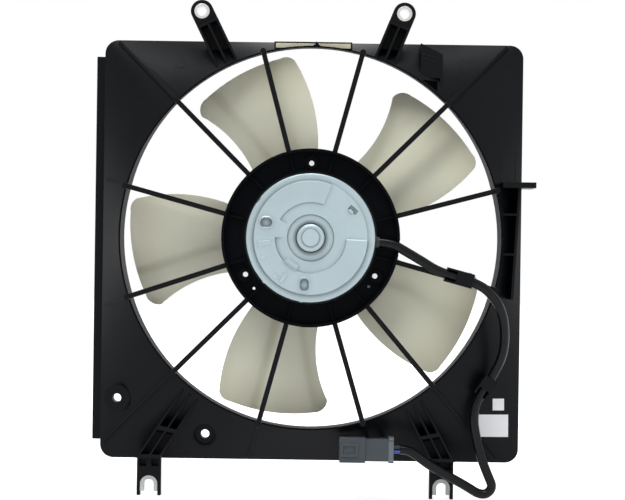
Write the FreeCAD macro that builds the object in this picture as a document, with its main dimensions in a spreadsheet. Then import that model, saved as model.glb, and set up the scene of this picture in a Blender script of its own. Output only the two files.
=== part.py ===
"""Radiator cooling fan: a moulded shroud with a five-bladed wheel on an electric motor.

Millimetres, +Z up. The engine side faces -Y and the radiator side faces +Y.
The origin is midway between the two upper bolt holes, on the faces that lie on the radiator.
"""
import FreeCAD
import Part
import Sketcher
import math
import os
from FreeCAD import Placement, Rotation, Vector

# Driving sizes: name, value in millimetres or degrees, and what it is
SIZES = (
    ("bolt_spacing", 194.0, "centre to centre of the two upper bolt holes"),
    ("fan_axis_x", 10.0, "fan axis to the right of the bolts' middle"),
    ("fan_axis_drop", 216.0, "fan axis below the bolt holes"),
    # Shroud plenum, sizes from the fan axis
    ("body_left", 201.6, "left wall"),
    ("body_right", 203.9, "right wall"),
    ("body_top", 189.6, "top wall"),
    ("body_bottom", 215.0, "bottom wall"),
    ("body_corner", 13.0, "outer radius of the plenum's corners"),
    ("wall", 2.5, "wall of the moulding"),
    ("rim_front", 28.0, "plane of the rim that meets the radiator"),
    ("rim_back", 10.0, "where the straight rim ends and the sloping roof starts"),
    ("flange_reach", 9.7, "how far the left flange stands out"),
    ("flange_thick", 2.6, "left flange"),
    ("flange_top", 188.0, "upper end of the left flange"),
    ("flange_bottom", 199.0, "lower end of the left flange"),
    # Fan opening
    ("bore_radius", 180.2, "inside of the ring round the blades"),
    ("ring_wall", 1.6, "wall of that ring"),
    ("ring_back", 32.0, "engine-side edge of the ring"),
    ("ring_front", 21.0, "radiator-side edge of the ring at the top"),
    ("ring_low_front", 10.0, "radiator-side edge of the ring at the bottom"),
    ("skirt_front", -4.0, "and at the sides, where a skirt carries it on past the ears' faces"),
    ("skirt_low", 45.0, "the skirt is full up to this height from the fan axis"),
    ("skirt_high", 130.0, "and slopes away to nothing at this height"),
    ("roof_back", 24.0, "where the sloping roof meets the ring"),
    ("corner_turn", 4.0, "half angle of the ring that each corner of the roof runs to"),
    # Spokes and the ring that holds the motor
    ("spoke_width", 4.7, "across a spoke"),
    ("spoke_back", 44.0, "engine-side edge of the spokes"),
    ("knob_radius", 2.7, "round foot at a spoke's outer end"),
    ("holder_radius", 83.8, "outside of the motor ring"),
    ("holder_wall", 2.5, "its wall"),
    ("holder_back", 48.0, "its engine-side edge"),
    ("holder_seat", 34.0, "face that the motor's flange lies on"),
    ("holder_floor", 3.0, "its floor"),
    ("holder_collar", 5.0, "height of the collar round its hole"),
    ("holder_rib", 2.0, "thickness of its radial ribs and of the channel ribs"),
    ("roof_rib", 3.0, "thickness of the ribs on the roof, and how far they stand up"),
    ("motor_gap", 2.6, "gap round the motor in the hole"),
    ("floor_hole", 1.3, "two small holes in the motor ring's floor"),
    ("floor_hole_circle", 71.5, "radius of the circle that they lie on"),
    # Ears and legs
    ("ear_width", 21.5, "across an upper ear"),
    ("ear_tab_back", 12.0, "thickness of an ear at its bolt"),
    ("beam_back", 22.0, "engine-side edge of the ears' and legs' beams"),
    ("beam_floor", 4.0, "floor under the channels of a beam"),
    ("beam_wall", 2.3, "walls of those channels"),
    ("ear_cross", 13.0, "bolt hole to the cross rib of an ear"),
    ("fork_left_x", 152.1, "left fork from the fan axis"),
    ("fork_right_x", 128.4, "right fork from the fan axis"),
    ("fork_drop", 237.8, "forks below the fan axis"),
    ("leg_width", 23.0, "across a leg at its fork"),
    ("leg_end", 10.7, "leg below the middle of its fork"),
    ("leg_knee", 26.5, "knee of a leg above the middle of its fork"),
    ("leg_thick", 9.0, "thickness of a leg at its fork"),
    ("leg_left_turn", 233.0, "where the left leg meets the ring"),
    ("leg_right_turn", 302.6, "where the right leg meets the ring"),
    ("leg_spread", 2.9, "half angle that a leg covers on the ring"),
    ("leg_window", 9.0, "height of the two recesses in a leg's plate"),
    # Collars and fork inserts
    ("collar_radius", 7.25, "steel collar in an ear"),
    ("collar_bore", 4.5, "its bolt hole"),
    ("insert_radius", 8.3, "outside of a fork insert"),
    ("slot_radius", 4.75, "half the slot of a fork"),
    ("insert_stop", 4.0, "insert's legs end above the leg's end"),
    ("press_gap", 0.08, "gap left between pressed-in pieces and the plastic"),
    # Bosses, tab, box and side channel
    ("boss_hole", 4.15, "holes of the two bosses"),
    ("boss_radius", 12.5, "outside of a boss"),
    ("boss_height", 7.0, "boss above the roof"),
    ("side_boss_x", 183.9, "left boss from the fan axis"),
    ("side_boss_drop", 155.8, "left boss below the fan axis"),
    ("low_boss_x", 99.1, "lower boss from the fan axis"),
    ("low_boss_drop", 189.6, "lower boss below the fan axis"),
    ("boss_tube", 6.9, "outside of the tube behind a boss"),
    ("boss_front", 6.0, "radiator-side end of that tube"),
    ("cup_radius", 10.3, "recess of the lower boss"),
    ("tab_reach", 213.4, "end of the right tab from the fan axis"),
    ("tab_height", 53.0, "right tab above the fan axis"),
    ("tab_thick", 5.4, "right tab"),
    ("tab_back", 27.0, "engine-side edge of the tab"),
    ("channel_back", 20.0, "engine-side edge of the right channel's wall"),
    ("channel_inset", 4.0, "that wall from the plenum's wall at its upper end"),
    ("channel_lean", 6.2, "how far it leans towards the fan at its lower end"),
    ("channel_low", 56.0, "lower end of that channel below the fan axis"),
    ("channel_rib_high", 24.0, "upper cross rib of the channel above the fan axis"),
    ("channel_rib_low", 14.0, "lower cross rib of the channel below the fan axis"),
    ("box_left", 102.5, "left side of the box on the roof"),
    ("box_right", 123.5, "its right side"),
    ("box_low", 142.0, "its lower side"),
    ("box_back", 20.0, "its engine-side face"),
    ("box_well", 12.0, "height of the open pocket in its foot"),
    ("gusset_x", 3.3, "small gusset in front of the seal strip, right of the fan axis"),
    ("gusset_left", 8.9, "that gusset to the left of its rib"),
    ("gusset_right", 6.0, "and to the right of it"),
    ("gusset_high", 186.5, "its tip above the fan axis"),
    ("gusset_bend", 9.0, "radius of its hollow sides"),
    ("gusset_back", 29.0, "its engine-side face"),
    # Cable clips of the shroud and the connector's bracket
    ("cable_radius", 4.5, "vinyl sleeve of the leads"),
    ("clip_gap", 0.5, "room for the sleeve in a clip"),
    ("clip_wall", 1.8, "wall of a clip"),
    ("spoke_clip_out", 144.0, "middle of the clip on the spoke from the fan axis"),
    ("spoke_clip_long", 26.0, "that clip along the leads"),
    ("roof_clip_x", 168.5, "middle of the clip on the roof, right of the fan axis"),
    ("roof_clip_drop", 139.5, "and below the fan axis"),
    ("roof_clip_long", 20.0, "that clip along the leads"),
    ("roof_clip_turn", 57.0, "direction of the leads in it"),
    ("roof_clip_bed", 14.0, "depth of its bed"),
    ("cable_turn", -3.0, "where the leads leave the motor"),
    ("cable_back", 46.0, "depth of the leads where they leave the motor"),
    ("notch_drop", 8.0, "notch for the leads in the motor ring, below the fan axis"),
    ("notch_half", 6.6, "half the width of that notch"),
    # Seal strip and the ledge it lies on, above the opening
    ("ledge_half", 37.0, "half the length of the ledge"),
    ("ledge_high", 186.4, "its upper edge above the fan axis"),
    ("seal_half", 35.5, "half the length of the seal strip"),
    ("seal_high", 184.8, "its upper edge above the fan axis"),
    ("seal_turn", 8.2, "half the angle over which it follows the ring"),
    ("seal_thick", 1.6, "its thickness"),
    # Fan wheel
    ("blade_count", 5, "blades"),
    ("first_blade", 40.9, "middle of the first blade"),
    ("tip_radius", 173.0, "blade tips"),
    ("hub_radius", 67.0, "outside of the hub"),
    ("hub_wall", 3.0, "wall of the hub"),
    ("hub_back", 26.0, "engine-side edge of the hub"),
    ("hub_face", 10.0, "radiator-side face of the hub"),
    ("hub_bevel", 5.0, "bevel round that face"),
    ("blade_thick", 2.6, "blades"),
    ("blade_trail", 25.0, "depth of the trailing edges"),
    ("blade_lead_root", 2.0, "depth of a leading edge at the hub"),
    ("blade_lead_tip", 9.0, "depth of a leading edge at the tip"),
    ("blade_camber", 7.0, "camber of the blades"),
    ("hub_boss_radius", 14.0, "boss in the middle of the hub"),
    ("hub_boss_back", 3.0, "rear face of that boss and its insert"),
    ("hub_boss_front", 13.0, "front face of that boss and its insert"),
    # Motor
    ("motor_radius", 60.3, "motor can"),
    ("can_wall", 2.4, "its wall"),
    ("can_back", 52.0, "its open end"),
    ("cover_back", 56.0, "engine-side face of the rear cover"),
    ("cover_wall", 2.0, "rear cover"),
    ("cover_rim", 53.5, "inside of the cover's low rim"),
    ("cover_rim_step", 1.6, "how far the rim lies lower"),
    ("cover_disc", 22.1, "raised disc of the cover"),
    ("cover_disc_step", 2.0, "height of that disc"),
    ("cover_boss", 13.7, "bearing boss of the cover"),
    ("cover_boss_back", 63.0, "its end"),
    ("cover_button", 8.3, "round button on the boss"),
    ("cover_button_step", 0.8, "its height"),
    ("cover_rib_half", 0.9, "half the width of the cover's low ribs"),
    ("cover_rib_high", 0.7, "height of those ribs"),
    ("window_circle", 44.0, "radius of the circle that the cover's windows lie on"),
    ("flange_plate", 3.0, "motor flange"),
    ("flange_ring", 66.0, "outside of the flange's ring"),
    ("screw_circle", 70.0, "radius of the circle of motor screws"),
    ("screw_count", 3, "motor screws"),
    ("screw_turn", 90.0, "angle of the first motor screw"),
    ("screw_radius", 2.4, "shank of a motor screw"),
    ("screw_head", 4.4, "head of a motor screw"),
    ("screw_head_high", 2.8, "height of that head"),
    ("screw_length", 13.5, "shank under the head"),
    ("pad_radius", 6.4, "round the screws, on the flange and the shroud"),
    ("shaft_radius", 4.0, "motor shaft"),
    ("thread_radius", 3.0, "threaded end of the shaft"),
    ("shaft_back", 60.5, "rear end of the shaft"),
    ("shaft_front", 22.0, "front end of the shaft"),
    ("run_gap", 0.04, "running gap of the shaft in its bush"),
    ("insert_wall", 5.0, "steel insert of the hub"),
    ("washer_radius", 8.0, "washer under the nut"),
    ("washer_thick", 1.4, "that washer"),
    ("nut_flat", 5.0, "centre to flat of the nut"),
    ("nut_high", 5.0, "height of the nut"),
    # Bearings
    ("race_radius", 11.0, "outside of the ball bearing"),
    ("race_width", 7.0, "width of the ball bearing"),
    ("race_wall", 1.5, "its rings"),
    ("ball_count", 7, "balls"),
    ("bush_radius", 8.5, "rear bush"),
    ("bush_front", 53.0, "front end of the rear bush"),
    ("housing_wall", 2.4, "wall round the ball bearing"),
    # Field, armature and brushes
    ("magnet_thick", 6.8, "field magnets"),
    ("magnet_span", 70.0, "angle that a magnet covers"),
    ("magnet_count", 4, "magnets"),
    ("magnet_back", 42.0, "rear end of the magnets"),
    ("magnet_front", 8.0, "front end of the magnets"),
    ("air_gap", 1.0, "between magnets and armature"),
    ("core_back", 37.5, "rear end of the armature's laminations"),
    ("core_front", 11.0, "front end of the laminations"),
    ("slot_count", 16, "armature slots"),
    ("slot_width", 5.0, "an armature slot"),
    ("slot_depth", 17.0, "its depth"),
    ("coil_overhang", 5.0, "end coils past the laminations"),
    ("commutator_radius", 12.0, "commutator"),
    ("commutator_back", 52.5, "its rear end"),
    ("commutator_front", 43.4, "its front end"),
    ("plate_radius", 56.5, "brush plate"),
    ("plate_thick", 1.4, "its thickness"),
    ("brush_count", 4, "carbon brushes"),
    ("brush_width", 8.0, "a brush across"),
    ("brush_thick", 5.6, "a brush along the shaft"),
    ("brush_long", 13.0, "a brush from end to end"),
    ("brush_gap", 0.15, "round a brush in its holder"),
    ("holder_sheet", 0.7, "brush holders"),
    ("box_start", 2.5, "brush holders stand off the commutator"),
    ("box_long", 22.0, "a brush holder from end to end"),
    ("spring_radius", 2.2, "brush springs"),
    ("choke_radius", 3.4, "suppression chokes"),
    ("choke_long", 14.0, "a choke from end to end"),
    ("choke_out", 39.0, "chokes from the fan axis"),
    ("grommet_back", 57.5, "inner end of the rubber grommet, from the fan axis"),
    ("grommet_front", 64.5, "its outer end"),
    ("grommet_lip", 1.2, "its lip outside the can"),
    # Connector
    ("plug_left", 29.8, "mouth of the connector from the fan axis"),
    ("hood_long", 24.4, "its hood"),
    ("body_long", 22.0, "its body behind the hood"),
    ("cap_long", 4.8, "its rear cap"),
    ("plug_drop", 199.2, "middle of the connector below the fan axis"),
    ("plug_back", 38.5, "its engine-side face"),
    ("hood_high", 24.0, "hood, top to bottom"),
    ("hood_deep", 20.0, "hood, front to back"),
    ("hood_wall", 1.6, "wall of the hood"),
    ("socket_deep", 19.0, "depth of the socket"),
    ("plug_taper", 1.4, "body smaller than the hood on each side"),
    ("lock_start", 1.0, "lock of the hood from its mouth"),
    ("lock_long", 16.5, "length of the lock"),
    ("lock_half", 6.5, "half the width of the lock"),
    ("lock_bar", 2.5, "width of the lock's raised frame"),
    ("cap_ear", 2.0, "height of the cap's corner ears"),
    ("terminal_half", 2.5, "half the width of a terminal"),
    ("terminal_thick", 0.8, "thickness of a terminal"),
    ("seal_wall", 0.6, "rubber round a lead in the cap"),
    ("terminal_gap", 6.3, "between the two terminals"),
    ("wire_radius", 1.6, "the two leads"),
    ("wire_gap", 4.8, "between the leads at the cap"),
    ("wire_free", 6.5, "leads between the cap and the sleeve"),
    ("bracket_thick", 2.2, "plates of the connector's bracket"),
    ("bracket_inset", 2.0, "plates from the ends of the connector's body"),
    ("bracket_half", 8.0, "half the height of the plates"),
)


class Size:
    """A length, angle or count: its value now, and the formula that ties it to the sheet."""

    def __init__(self, value, formula):
        self.value = value
        self.formula = formula

    def __add__(self, other):
        other = as_size(other)
        return Size(self.value + other.value, f"({self.formula} + {other.formula})")

    def __sub__(self, other):
        other = as_size(other)
        return Size(self.value - other.value, f"({self.formula} - {other.formula})")

    def __mul__(self, other):
        other = as_size(other)
        return Size(self.value * other.value, f"({self.formula} * {other.formula})")

    def __truediv__(self, other):
        other = as_size(other)
        return Size(self.value / other.value, f"({self.formula} / {other.formula})")

    def __neg__(self):
        return Size(-self.value, f"(0 - {self.formula})")

    def __radd__(self, other):
        return as_size(other) + self

    def __rsub__(self, other):
        return as_size(other) - self

    def __rmul__(self, other):
        return as_size(other) * self

    def __rtruediv__(self, other):
        return as_size(other) / self


def as_size(number):
    return number if isinstance(number, Size) else Size(float(number), f"({float(number)})")


def cosine(angle):
    angle = as_size(angle)
    return Size(math.cos(math.radians(angle.value)), f"cos({angle.formula})")


def sine(angle):
    angle = as_size(angle)
    return Size(math.sin(math.radians(angle.value)), f"sin({angle.formula})")


def length_of(x, z):
    return Size(math.hypot(x.value, z.value), f"sqrt({x.formula} ^ 2 + {z.formula} ^ 2)")


def polar(radius, angle):
    """A point at a radius and an angle, counted from the right towards the top."""
    return as_size(radius) * cosine(angle), as_size(radius) * sine(angle)


def between(start, end, share):
    """The point that lies a share of the way from start to end."""
    return tuple(a + (b - a) * share for a, b in zip(start, end))


class SizeSheet:
    """The spreadsheet of driving sizes, read as named sizes."""

    def __init__(self, doc):
        sheet = doc.addObject("Spreadsheet::Sheet", "sizes")
        self.known = {}
        for row, (name, value, meaning) in enumerate(SIZES, start=1):
            sheet.set(f"A{row}", meaning)
            sheet.set(f"B{row}", str(value))
            sheet.setAlias(f"B{row}", name)
            self.known[name] = Size(float(value), f"sizes.{name}")

    def __getattr__(self, name):
        return self.known[name]


doc = FreeCAD.newDocument("radiator_cooling_fan")
s = SizeSheet(doc)
doc.recompute()


def tie(thing, name, amount):
    """Set a property of an object to a size, and bind it to the sheet."""
    thing.setExpression(name, as_size(amount).formula)


def new_body(name, x=0, y=0, z=0, turn=None, about=Vector(0, -1, 0)):
    """A body of its own, placed in the part's frame and turned about the fan's direction."""
    body = doc.addObject("PartDesign::Body", name)
    body.Label = name
    if turn is not None:
        body.Placement = Placement(Vector(), Rotation(about, as_size(turn).value))
        tie(body, "Placement.Rotation.Angle", turn)
    tie(body, "Placement.Base.x", x)
    tie(body, "Placement.Base.y", y)
    tie(body, "Placement.Base.z", z)
    return body


def axis_body(name, turn=None):
    """A body whose own Y axis is the fan axis."""
    return new_body(name, s.fan_axis_x, 0, -s.fan_axis_drop, turn)


def origin_part(body, role):
    return next(part for part in body.Origin.OriginFeatures if part.Role == role)


class Drawing:
    """A sketch on one of its body's own planes, with every point tied to the sheet."""

    def __init__(self, body, name, plane="XZ_Plane", shift=0, turn=None):
        self.sketch = body.newObject("Sketcher::SketchObject", name)
        self.sketch.AttachmentSupport = [(origin_part(body, plane), "")]
        self.sketch.MapMode = "FlatFace"
        if turn is not None:
            turned = Rotation(Vector(0, 1, 0), as_size(turn).value)
            self.sketch.AttachmentOffset = Placement(Vector(), turned)
            tie(self.sketch, "AttachmentOffset.Rotation.Angle", turn)
        tie(self.sketch, "AttachmentOffset.Base.z", shift)

    def loop(self, *corners):
        """One closed outline. A corner's third number is the radius of the edge that
        leaves it: above zero it turns left, below zero right, and with none it is straight."""
        count = len(corners)
        places = [(as_size(c[0]), as_size(c[1])) for c in corners]
        radii = [as_size(c[2]) if len(c) > 2 else None for c in corners]
        first = self.sketch.GeometryCount
        edges, ends = [], []
        for i, radius in enumerate(radii):
            here = Vector(places[i][0].value, places[i][1].value, 0)
            there = Vector(places[(i + 1) % count][0].value, places[(i + 1) % count][1].value, 0)
            if radius is None:
                edges.append(Part.LineSegment(here, there))
                ends.append((1, 2))
                continue
            if radius.value < 0:
                here, there = there, here
            edges.append(arc_between(here, there, abs(radius.value)))
            ends.append((1, 2) if radius.value > 0 else (2, 1))
        self.sketch.addGeometry(edges, False)
        rules, ties = [], []
        for i, (x, z) in enumerate(places):
            edge, after = first + i, first + (i + 1) % count
            rules.append(Sketcher.Constraint("Coincident", edge, ends[i][1], after,
                                             ends[(i + 1) % count][0]))
            ties.append(None)
            rules.append(Sketcher.Constraint("DistanceX", -1, 1, edge, ends[i][0], x.value))
            ties.append(x)
            rules.append(Sketcher.Constraint("DistanceY", -1, 1, edge, ends[i][0], z.value))
            ties.append(z)
            if radii[i] is not None:
                bend = radii[i] if radii[i].value > 0 else -radii[i]
                rules.append(Sketcher.Constraint("Radius", edge, bend.value))
                ties.append(bend)
        self.rule(rules, ties)
        return self

    def circle(self, x, z, radius):
        x, z, radius = as_size(x), as_size(z), as_size(radius)
        place = Vector(x.value, z.value, 0)
        edge = self.sketch.addGeometry(Part.Circle(place, Vector(0, 0, 1), radius.value), False)
        rules = [Sketcher.Constraint("DistanceX", -1, 1, edge, 3, x.value),
                 Sketcher.Constraint("DistanceY", -1, 1, edge, 3, z.value),
                 Sketcher.Constraint("Radius", edge, radius.value)]
        self.rule(rules, [x, z, radius])
        return self

    def box(self, left, right, low, high):
        return self.loop((left, low), (right, low), (right, high), (left, high))

    def rule(self, rules, ties):
        numbers = self.sketch.addConstraint(rules)
        for number, amount in zip(numbers, ties):
            if amount is not None and "sizes." in amount.formula:
                self.sketch.setExpression(f"Constraints[{number}]", amount.formula)


def arc_between(start, end, radius):
    """The shorter arc that runs left-handed from start to end."""
    half = (end - start) * 0.5
    rise = math.sqrt(max(radius ** 2 - half.Length ** 2, 0.0))
    side = Vector(-half.y, half.x, 0).normalize()
    middle = start + half + side * rise
    first = math.atan2(start.y - middle.y, start.x - middle.x)
    last = math.atan2(end.y - middle.y, end.x - middle.x)
    if last < first:
        last += 2 * math.pi
    return Part.ArcOfCircle(Part.Circle(middle, Vector(0, 0, 1), radius), first, last)


# Features. A sketch on the XZ plane looks towards the engine, so a plain pad grows
# towards -Y and a plain pocket cuts towards +Y.


def feature(body, kind, name, drawing):
    made = body.newObject("PartDesign::" + kind, name)
    made.Profile = drawing.sketch
    made.Refine = False
    return made


def pad(body, name, drawing, length, forward=False, both_ways=False):
    made = feature(body, "Pad", name, drawing)
    made.Midplane = both_ways
    made.Reversed = forward
    tie(made, "Length", length)
    return made


def pocket(body, name, drawing, depth=None, both_ways=False, backward=False):
    """A cut from the sketch towards +Y, or right through where no depth is given."""
    made = feature(body, "Pocket", name, drawing)
    made.Midplane = both_ways
    made.Reversed = backward
    if depth is None:
        made.Type = "ThroughAll"
    else:
        tie(made, "Length", depth)
    return made


def revolve(body, name, drawing, kind="Revolution", axis="V_Axis"):
    """A turned form about the sketch's own upright axis."""
    made = feature(body, kind, name, drawing)
    made.ReferenceAxis = (drawing.sketch, [axis])
    made.Angle = 360
    return made


def loft(body, name, drawings, kind="AdditiveLoft", straight=True):
    made = feature(body, kind, name, drawings[0])
    made.Sections = [drawing.sketch for drawing in drawings[1:]]
    made.Ruled = straight
    return made


def repeat(body, name, originals, count):
    """Copies of features, evenly spaced round the fan axis."""
    made = body.newObject("PartDesign::PolarPattern", name)
    made.Originals = originals
    made.Axis = (origin_part(body, "Y_Axis"), [""])
    made.Angle = 360
    made.Refine = False
    tie(made, "Occurrences", count)
    body.Tip = made
    return made


def turned(name, profile, turn=None):
    """A body turned about the fan axis from one profile of radius and depth."""
    body = axis_body(name, turn)
    drawing = Drawing(body, name + "_profile", "XY_Plane").loop(*profile)
    revolve(body, name + "_turn", drawing)
    return body


def tube(name, inner, outer, back, front):
    return turned(name, ((inner, back), (outer, back), (outer, front), (inner, front)))


# Shroud


def rounded_box(left, right, low, high, corner):
    """Corners of a rectangle with round corners, from the middle of its right side."""
    return ((right, low + corner), (right, high - corner, corner), (right - corner, high),
            (left + corner, high, corner), (left, high - corner), (left, low + corner, corner),
            (left + corner, low), (right - corner, low, corner))


def corner_bearings():
    """Directions of the plenum's corners from the fan axis, in the order of rounded_box."""
    places = ((s.body_right, s.body_top), (-s.body_left, s.body_top),
              (-s.body_left, -s.body_bottom), (s.body_right, -s.body_bottom))
    bearings = []
    for x, z in places:
        angle = math.degrees(math.atan2(z.value, x.value)) % 360
        turn = f"mod(atan2({z.formula}; {x.formula}) / 1 deg + 360; 360)"
        bearings.append(Size(angle, turn))
    return bearings


def ring_of_arcs(radius):
    """A circle cut where the plenum's corners run to it, to match rounded_box."""
    points = []
    right_top, left_top, left_low, right_low = corner_bearings()
    turns = (right_low + s.corner_turn, right_top - s.corner_turn, right_top + s.corner_turn,
             left_top - s.corner_turn, left_top + s.corner_turn, left_low - s.corner_turn,
             left_low + s.corner_turn, right_low - s.corner_turn)
    for turn in turns:
        x, z = polar(radius, turn)
        points.append((x, z, radius))
    return points


def plenum_outline(inset):
    return rounded_box(inset - s.body_left, s.body_right - inset, inset - s.body_bottom,
                       s.body_top - inset, s.body_corner - inset)


def roof_loft(body, name, kind, inset, edge_depth, radius, ring_depth):
    """The sloping roof, from the rounded rectangle of the rim to the round ring."""
    rim = Drawing(body, name + "_rim", shift=-edge_depth).loop(*plenum_outline(inset))
    ring = Drawing(body, name + "_ring", shift=ring_depth).loop(*ring_of_arcs(radius))
    return loft(body, name, [rim, ring], kind)


def roof_edge(turn):
    """Distance from the fan axis to the plenum's wall along a direction."""
    across, up = cosine(turn), sine(turn)
    wall_x = s.body_right / across if across.value > 0 else -s.body_left / across
    if abs(up.value) < 1e-6:
        return wall_x
    wall_z = s.body_top / up if up.value > 0 else -s.body_bottom / up
    return wall_x if wall_x.value < wall_z.value else wall_z


def channels(body, name, low_a, low_b, high_a, high_b, width, across, along, top, floor):
    """Pockets between the ribs of a beam, whose corners are given, cut from its back."""
    margin = s.beam_wall / width
    lanes = [((1 - margin * (across + 1)) / across) for _ in range(across)]
    drawing = Drawing(body, name + "_channels", shift=top)
    for lane in range(across):
        start = margin * (lane + 1) + lanes[0] * lane
        end = start + lanes[0]
        for first, last in along:
            corners = []
            for u, v in ((start, first), (end, first), (end, last), (start, last)):
                corners.append(between(between(low_a, low_b, u), between(high_a, high_b, u), v))
            drawing.loop(*corners)
    pocket(body, name + "_cut", drawing, top - floor)


# Angles of the spokes, which aren't quite evenly spaced; the last one carries a clip
SPOKE_TURNS = (15, 45, 75, 105, 135, 165, 198.6, 225, 255, 286.5, 310.3, 345)
# Angles of the spokes that go on over the roof as ribs
ROOF_RIB_TURNS = (45, 135, 165, 198.6, 225, 255, 310.3)
# Angles of the two small holes in the motor ring's floor
FLOOR_HOLE_TURNS = (222.4, 320.8)


def bars(body, name, shift, start, end, width):
    """A sketch of radial bars from start to end, one to a spoke."""
    drawing = Drawing(body, name, shift=shift)
    half = width / 2
    for turn in SPOKE_TURNS:
        cx, cz = cosine(turn), sine(turn)
        corners = ((start, -half), (end, -half), (end, half), (start, half))
        drawing.loop(*((cx * out - cz * aside, cz * out + cx * aside) for out, aside in corners))
    return drawing


def ear(body, name, hole_x):
    """An upper ear: a round-ended tab at the bolt and a beam of two channels to the ring."""
    hole_z = s.fan_axis_drop
    reach = length_of(hole_x, hole_z)
    ux, uz = hole_x / reach, hole_z / reach
    half = s.ear_width / 2
    foot = s.bore_radius + s.ring_wall

    def place(out, aside):
        return ux * out - uz * aside, uz * out + ux * aside

    tip = [(*place(reach, -half), half), (*place(reach + half, 0), half), place(reach, half)]
    outline = [place(foot, half), place(foot, -half)] + tip
    pad(body, name + "_tab", Drawing(body, name + "_outline").loop(*outline), s.ear_tab_back)
    beam_end = reach - s.ear_cross
    beam = [place(foot, half), place(foot, -half), place(beam_end, -half), place(beam_end, half)]
    pad(body, name + "_beam", Drawing(body, name + "_beam_outline").loop(*beam), s.beam_back)
    channel_end = beam_end - s.beam_wall
    channels(body, name, place(foot, -half), place(foot, half), place(channel_end, -half),
             place(channel_end, half), s.ear_width, 2, ((0, 1),), s.beam_back, s.beam_floor)
    hole = Drawing(body, name + "_hole", shift=s.beam_back)
    hole.circle(hole_x, hole_z, s.collar_radius + s.press_gap)
    pocket(body, name + "_bolt_hole", hole, s.beam_back + s.wall)


# Bays between the cross ribs of a leg, as shares of its beam
LEG_BAYS = ((0.05, 0.385), (0.44, 0.97))


def leg(name, fork_x, turn):
    """A leg: a plate with a fork at its foot, and a ribbed beam that lies on the roof."""
    body = axis_body(name)
    half = s.leg_width / 2
    foot = -s.fork_drop - s.leg_end
    knee = -s.fork_drop + s.leg_knee
    ring = s.bore_radius + s.ring_wall
    left, right = (fork_x - half, knee), (fork_x + half, knee)
    ring_left = polar(ring, turn - s.leg_spread)
    ring_right = polar(ring, turn + s.leg_spread)
    plate = Drawing(body, name + "_plate_outline")
    plate.loop((fork_x - half, foot), (fork_x + half, foot), right, left)
    pad(body, name + "_plate", plate, s.leg_thick)
    beam = Drawing(body, name + "_beam_outline").loop(left, right, ring_right, ring_left)
    pad(body, name + "_beam", beam, s.beam_back)
    channels(body, name, left, right, ring_left, ring_right, s.leg_width, 2,
             LEG_BAYS, s.beam_back, s.beam_floor)
    outer = s.insert_radius + s.press_gap
    slot = Drawing(body, name + "_slot", shift=s.leg_thick)
    slot.loop((fork_x - outer, foot - 1), (fork_x + outer, foot - 1),
              (fork_x + outer, -s.fork_drop, outer), (fork_x, outer - s.fork_drop, outer),
              (fork_x - outer, -s.fork_drop))
    pocket(body, name + "_fork", slot, s.leg_thick)
    rim = Drawing(body, name + "_rim_holes", shift=s.leg_thick)
    gap = s.beam_wall
    rim.box(fork_x - half + gap, fork_x - gap, knee - s.leg_window, knee - gap)
    rim.box(fork_x + gap, fork_x + half - gap, knee - s.leg_window, knee - gap)
    pocket(body, name + "_rim_cut", rim, s.leg_thick - s.beam_wall)
    roof_loft(body, name + "_seat", "SubtractiveLoft", as_size(0), s.rim_back, ring, s.roof_back)
    return body


def roof_rib(body, name, turn):
    """A low rib that carries a spoke's line on over the roof, out to the wall."""
    edge = roof_edge(turn)
    ring = s.bore_radius + s.ring_wall
    slope = (s.rim_back + s.roof_back) / (edge - ring)
    reach = edge - s.wall
    proud, sunk = s.roof_rib, s.wall / 2

    def roof(radius):
        return slope * (radius - ring) - s.roof_back

    drawing = Drawing(body, name + "_profile", "XY_Plane", turn=-as_size(turn))
    drawing.loop((ring - 1, roof(ring) - proud), (reach, roof(reach) - proud),
                 (reach, roof(reach) + sunk), (ring - 1, roof(ring) + sunk))
    pad(body, name, drawing, s.roof_rib, both_ways=True)


def shroud():
    """The plenum with its roof, ears and fittings, open where the ring stands in it."""
    body = axis_body("shroud")
    rim = Drawing(body, "rim_outline", shift=-s.rim_front).loop(*plenum_outline(as_size(0)))
    pad(body, "rim", rim, s.rim_front - s.rim_back)
    flange = Drawing(body, "flange_outline", shift=-s.rim_front)
    flange.box(-s.body_left - s.flange_reach, s.wall - s.body_left, -s.flange_bottom,
               s.flange_top - s.body_corner)
    pad(body, "left_flange", flange, s.flange_thick)
    ear(body, "left_ear", -s.fan_axis_x - s.bolt_spacing / 2)
    ear(body, "right_ear", s.bolt_spacing / 2 - s.fan_axis_x)
    roof_fittings(body)
    ring = s.bore_radius + s.ring_wall
    roof_loft(body, "roof", "AdditiveLoft", as_size(0), s.rim_back, ring, s.roof_back)
    for number, turn in enumerate(ROOF_RIB_TURNS, start=1):
        roof_rib(body, f"roof_rib_{number}", turn)
    inner = Drawing(body, "plenum_inside", shift=-(s.rim_back + s.wall))
    inner.loop(*plenum_outline(s.wall))
    pocket(body, "plenum", inner, s.rim_front - s.rim_back)
    roof_loft(body, "roof_inside", "SubtractiveLoft", s.wall, s.rim_back + s.wall,
              s.bore_radius, s.roof_back - s.wall)
    bore = Drawing(body, "bore_outline", shift=s.ring_back).circle(0, 0, ring)
    pocket(body, "bore", bore, s.ring_back)
    boss_openings(body)
    return body


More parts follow.
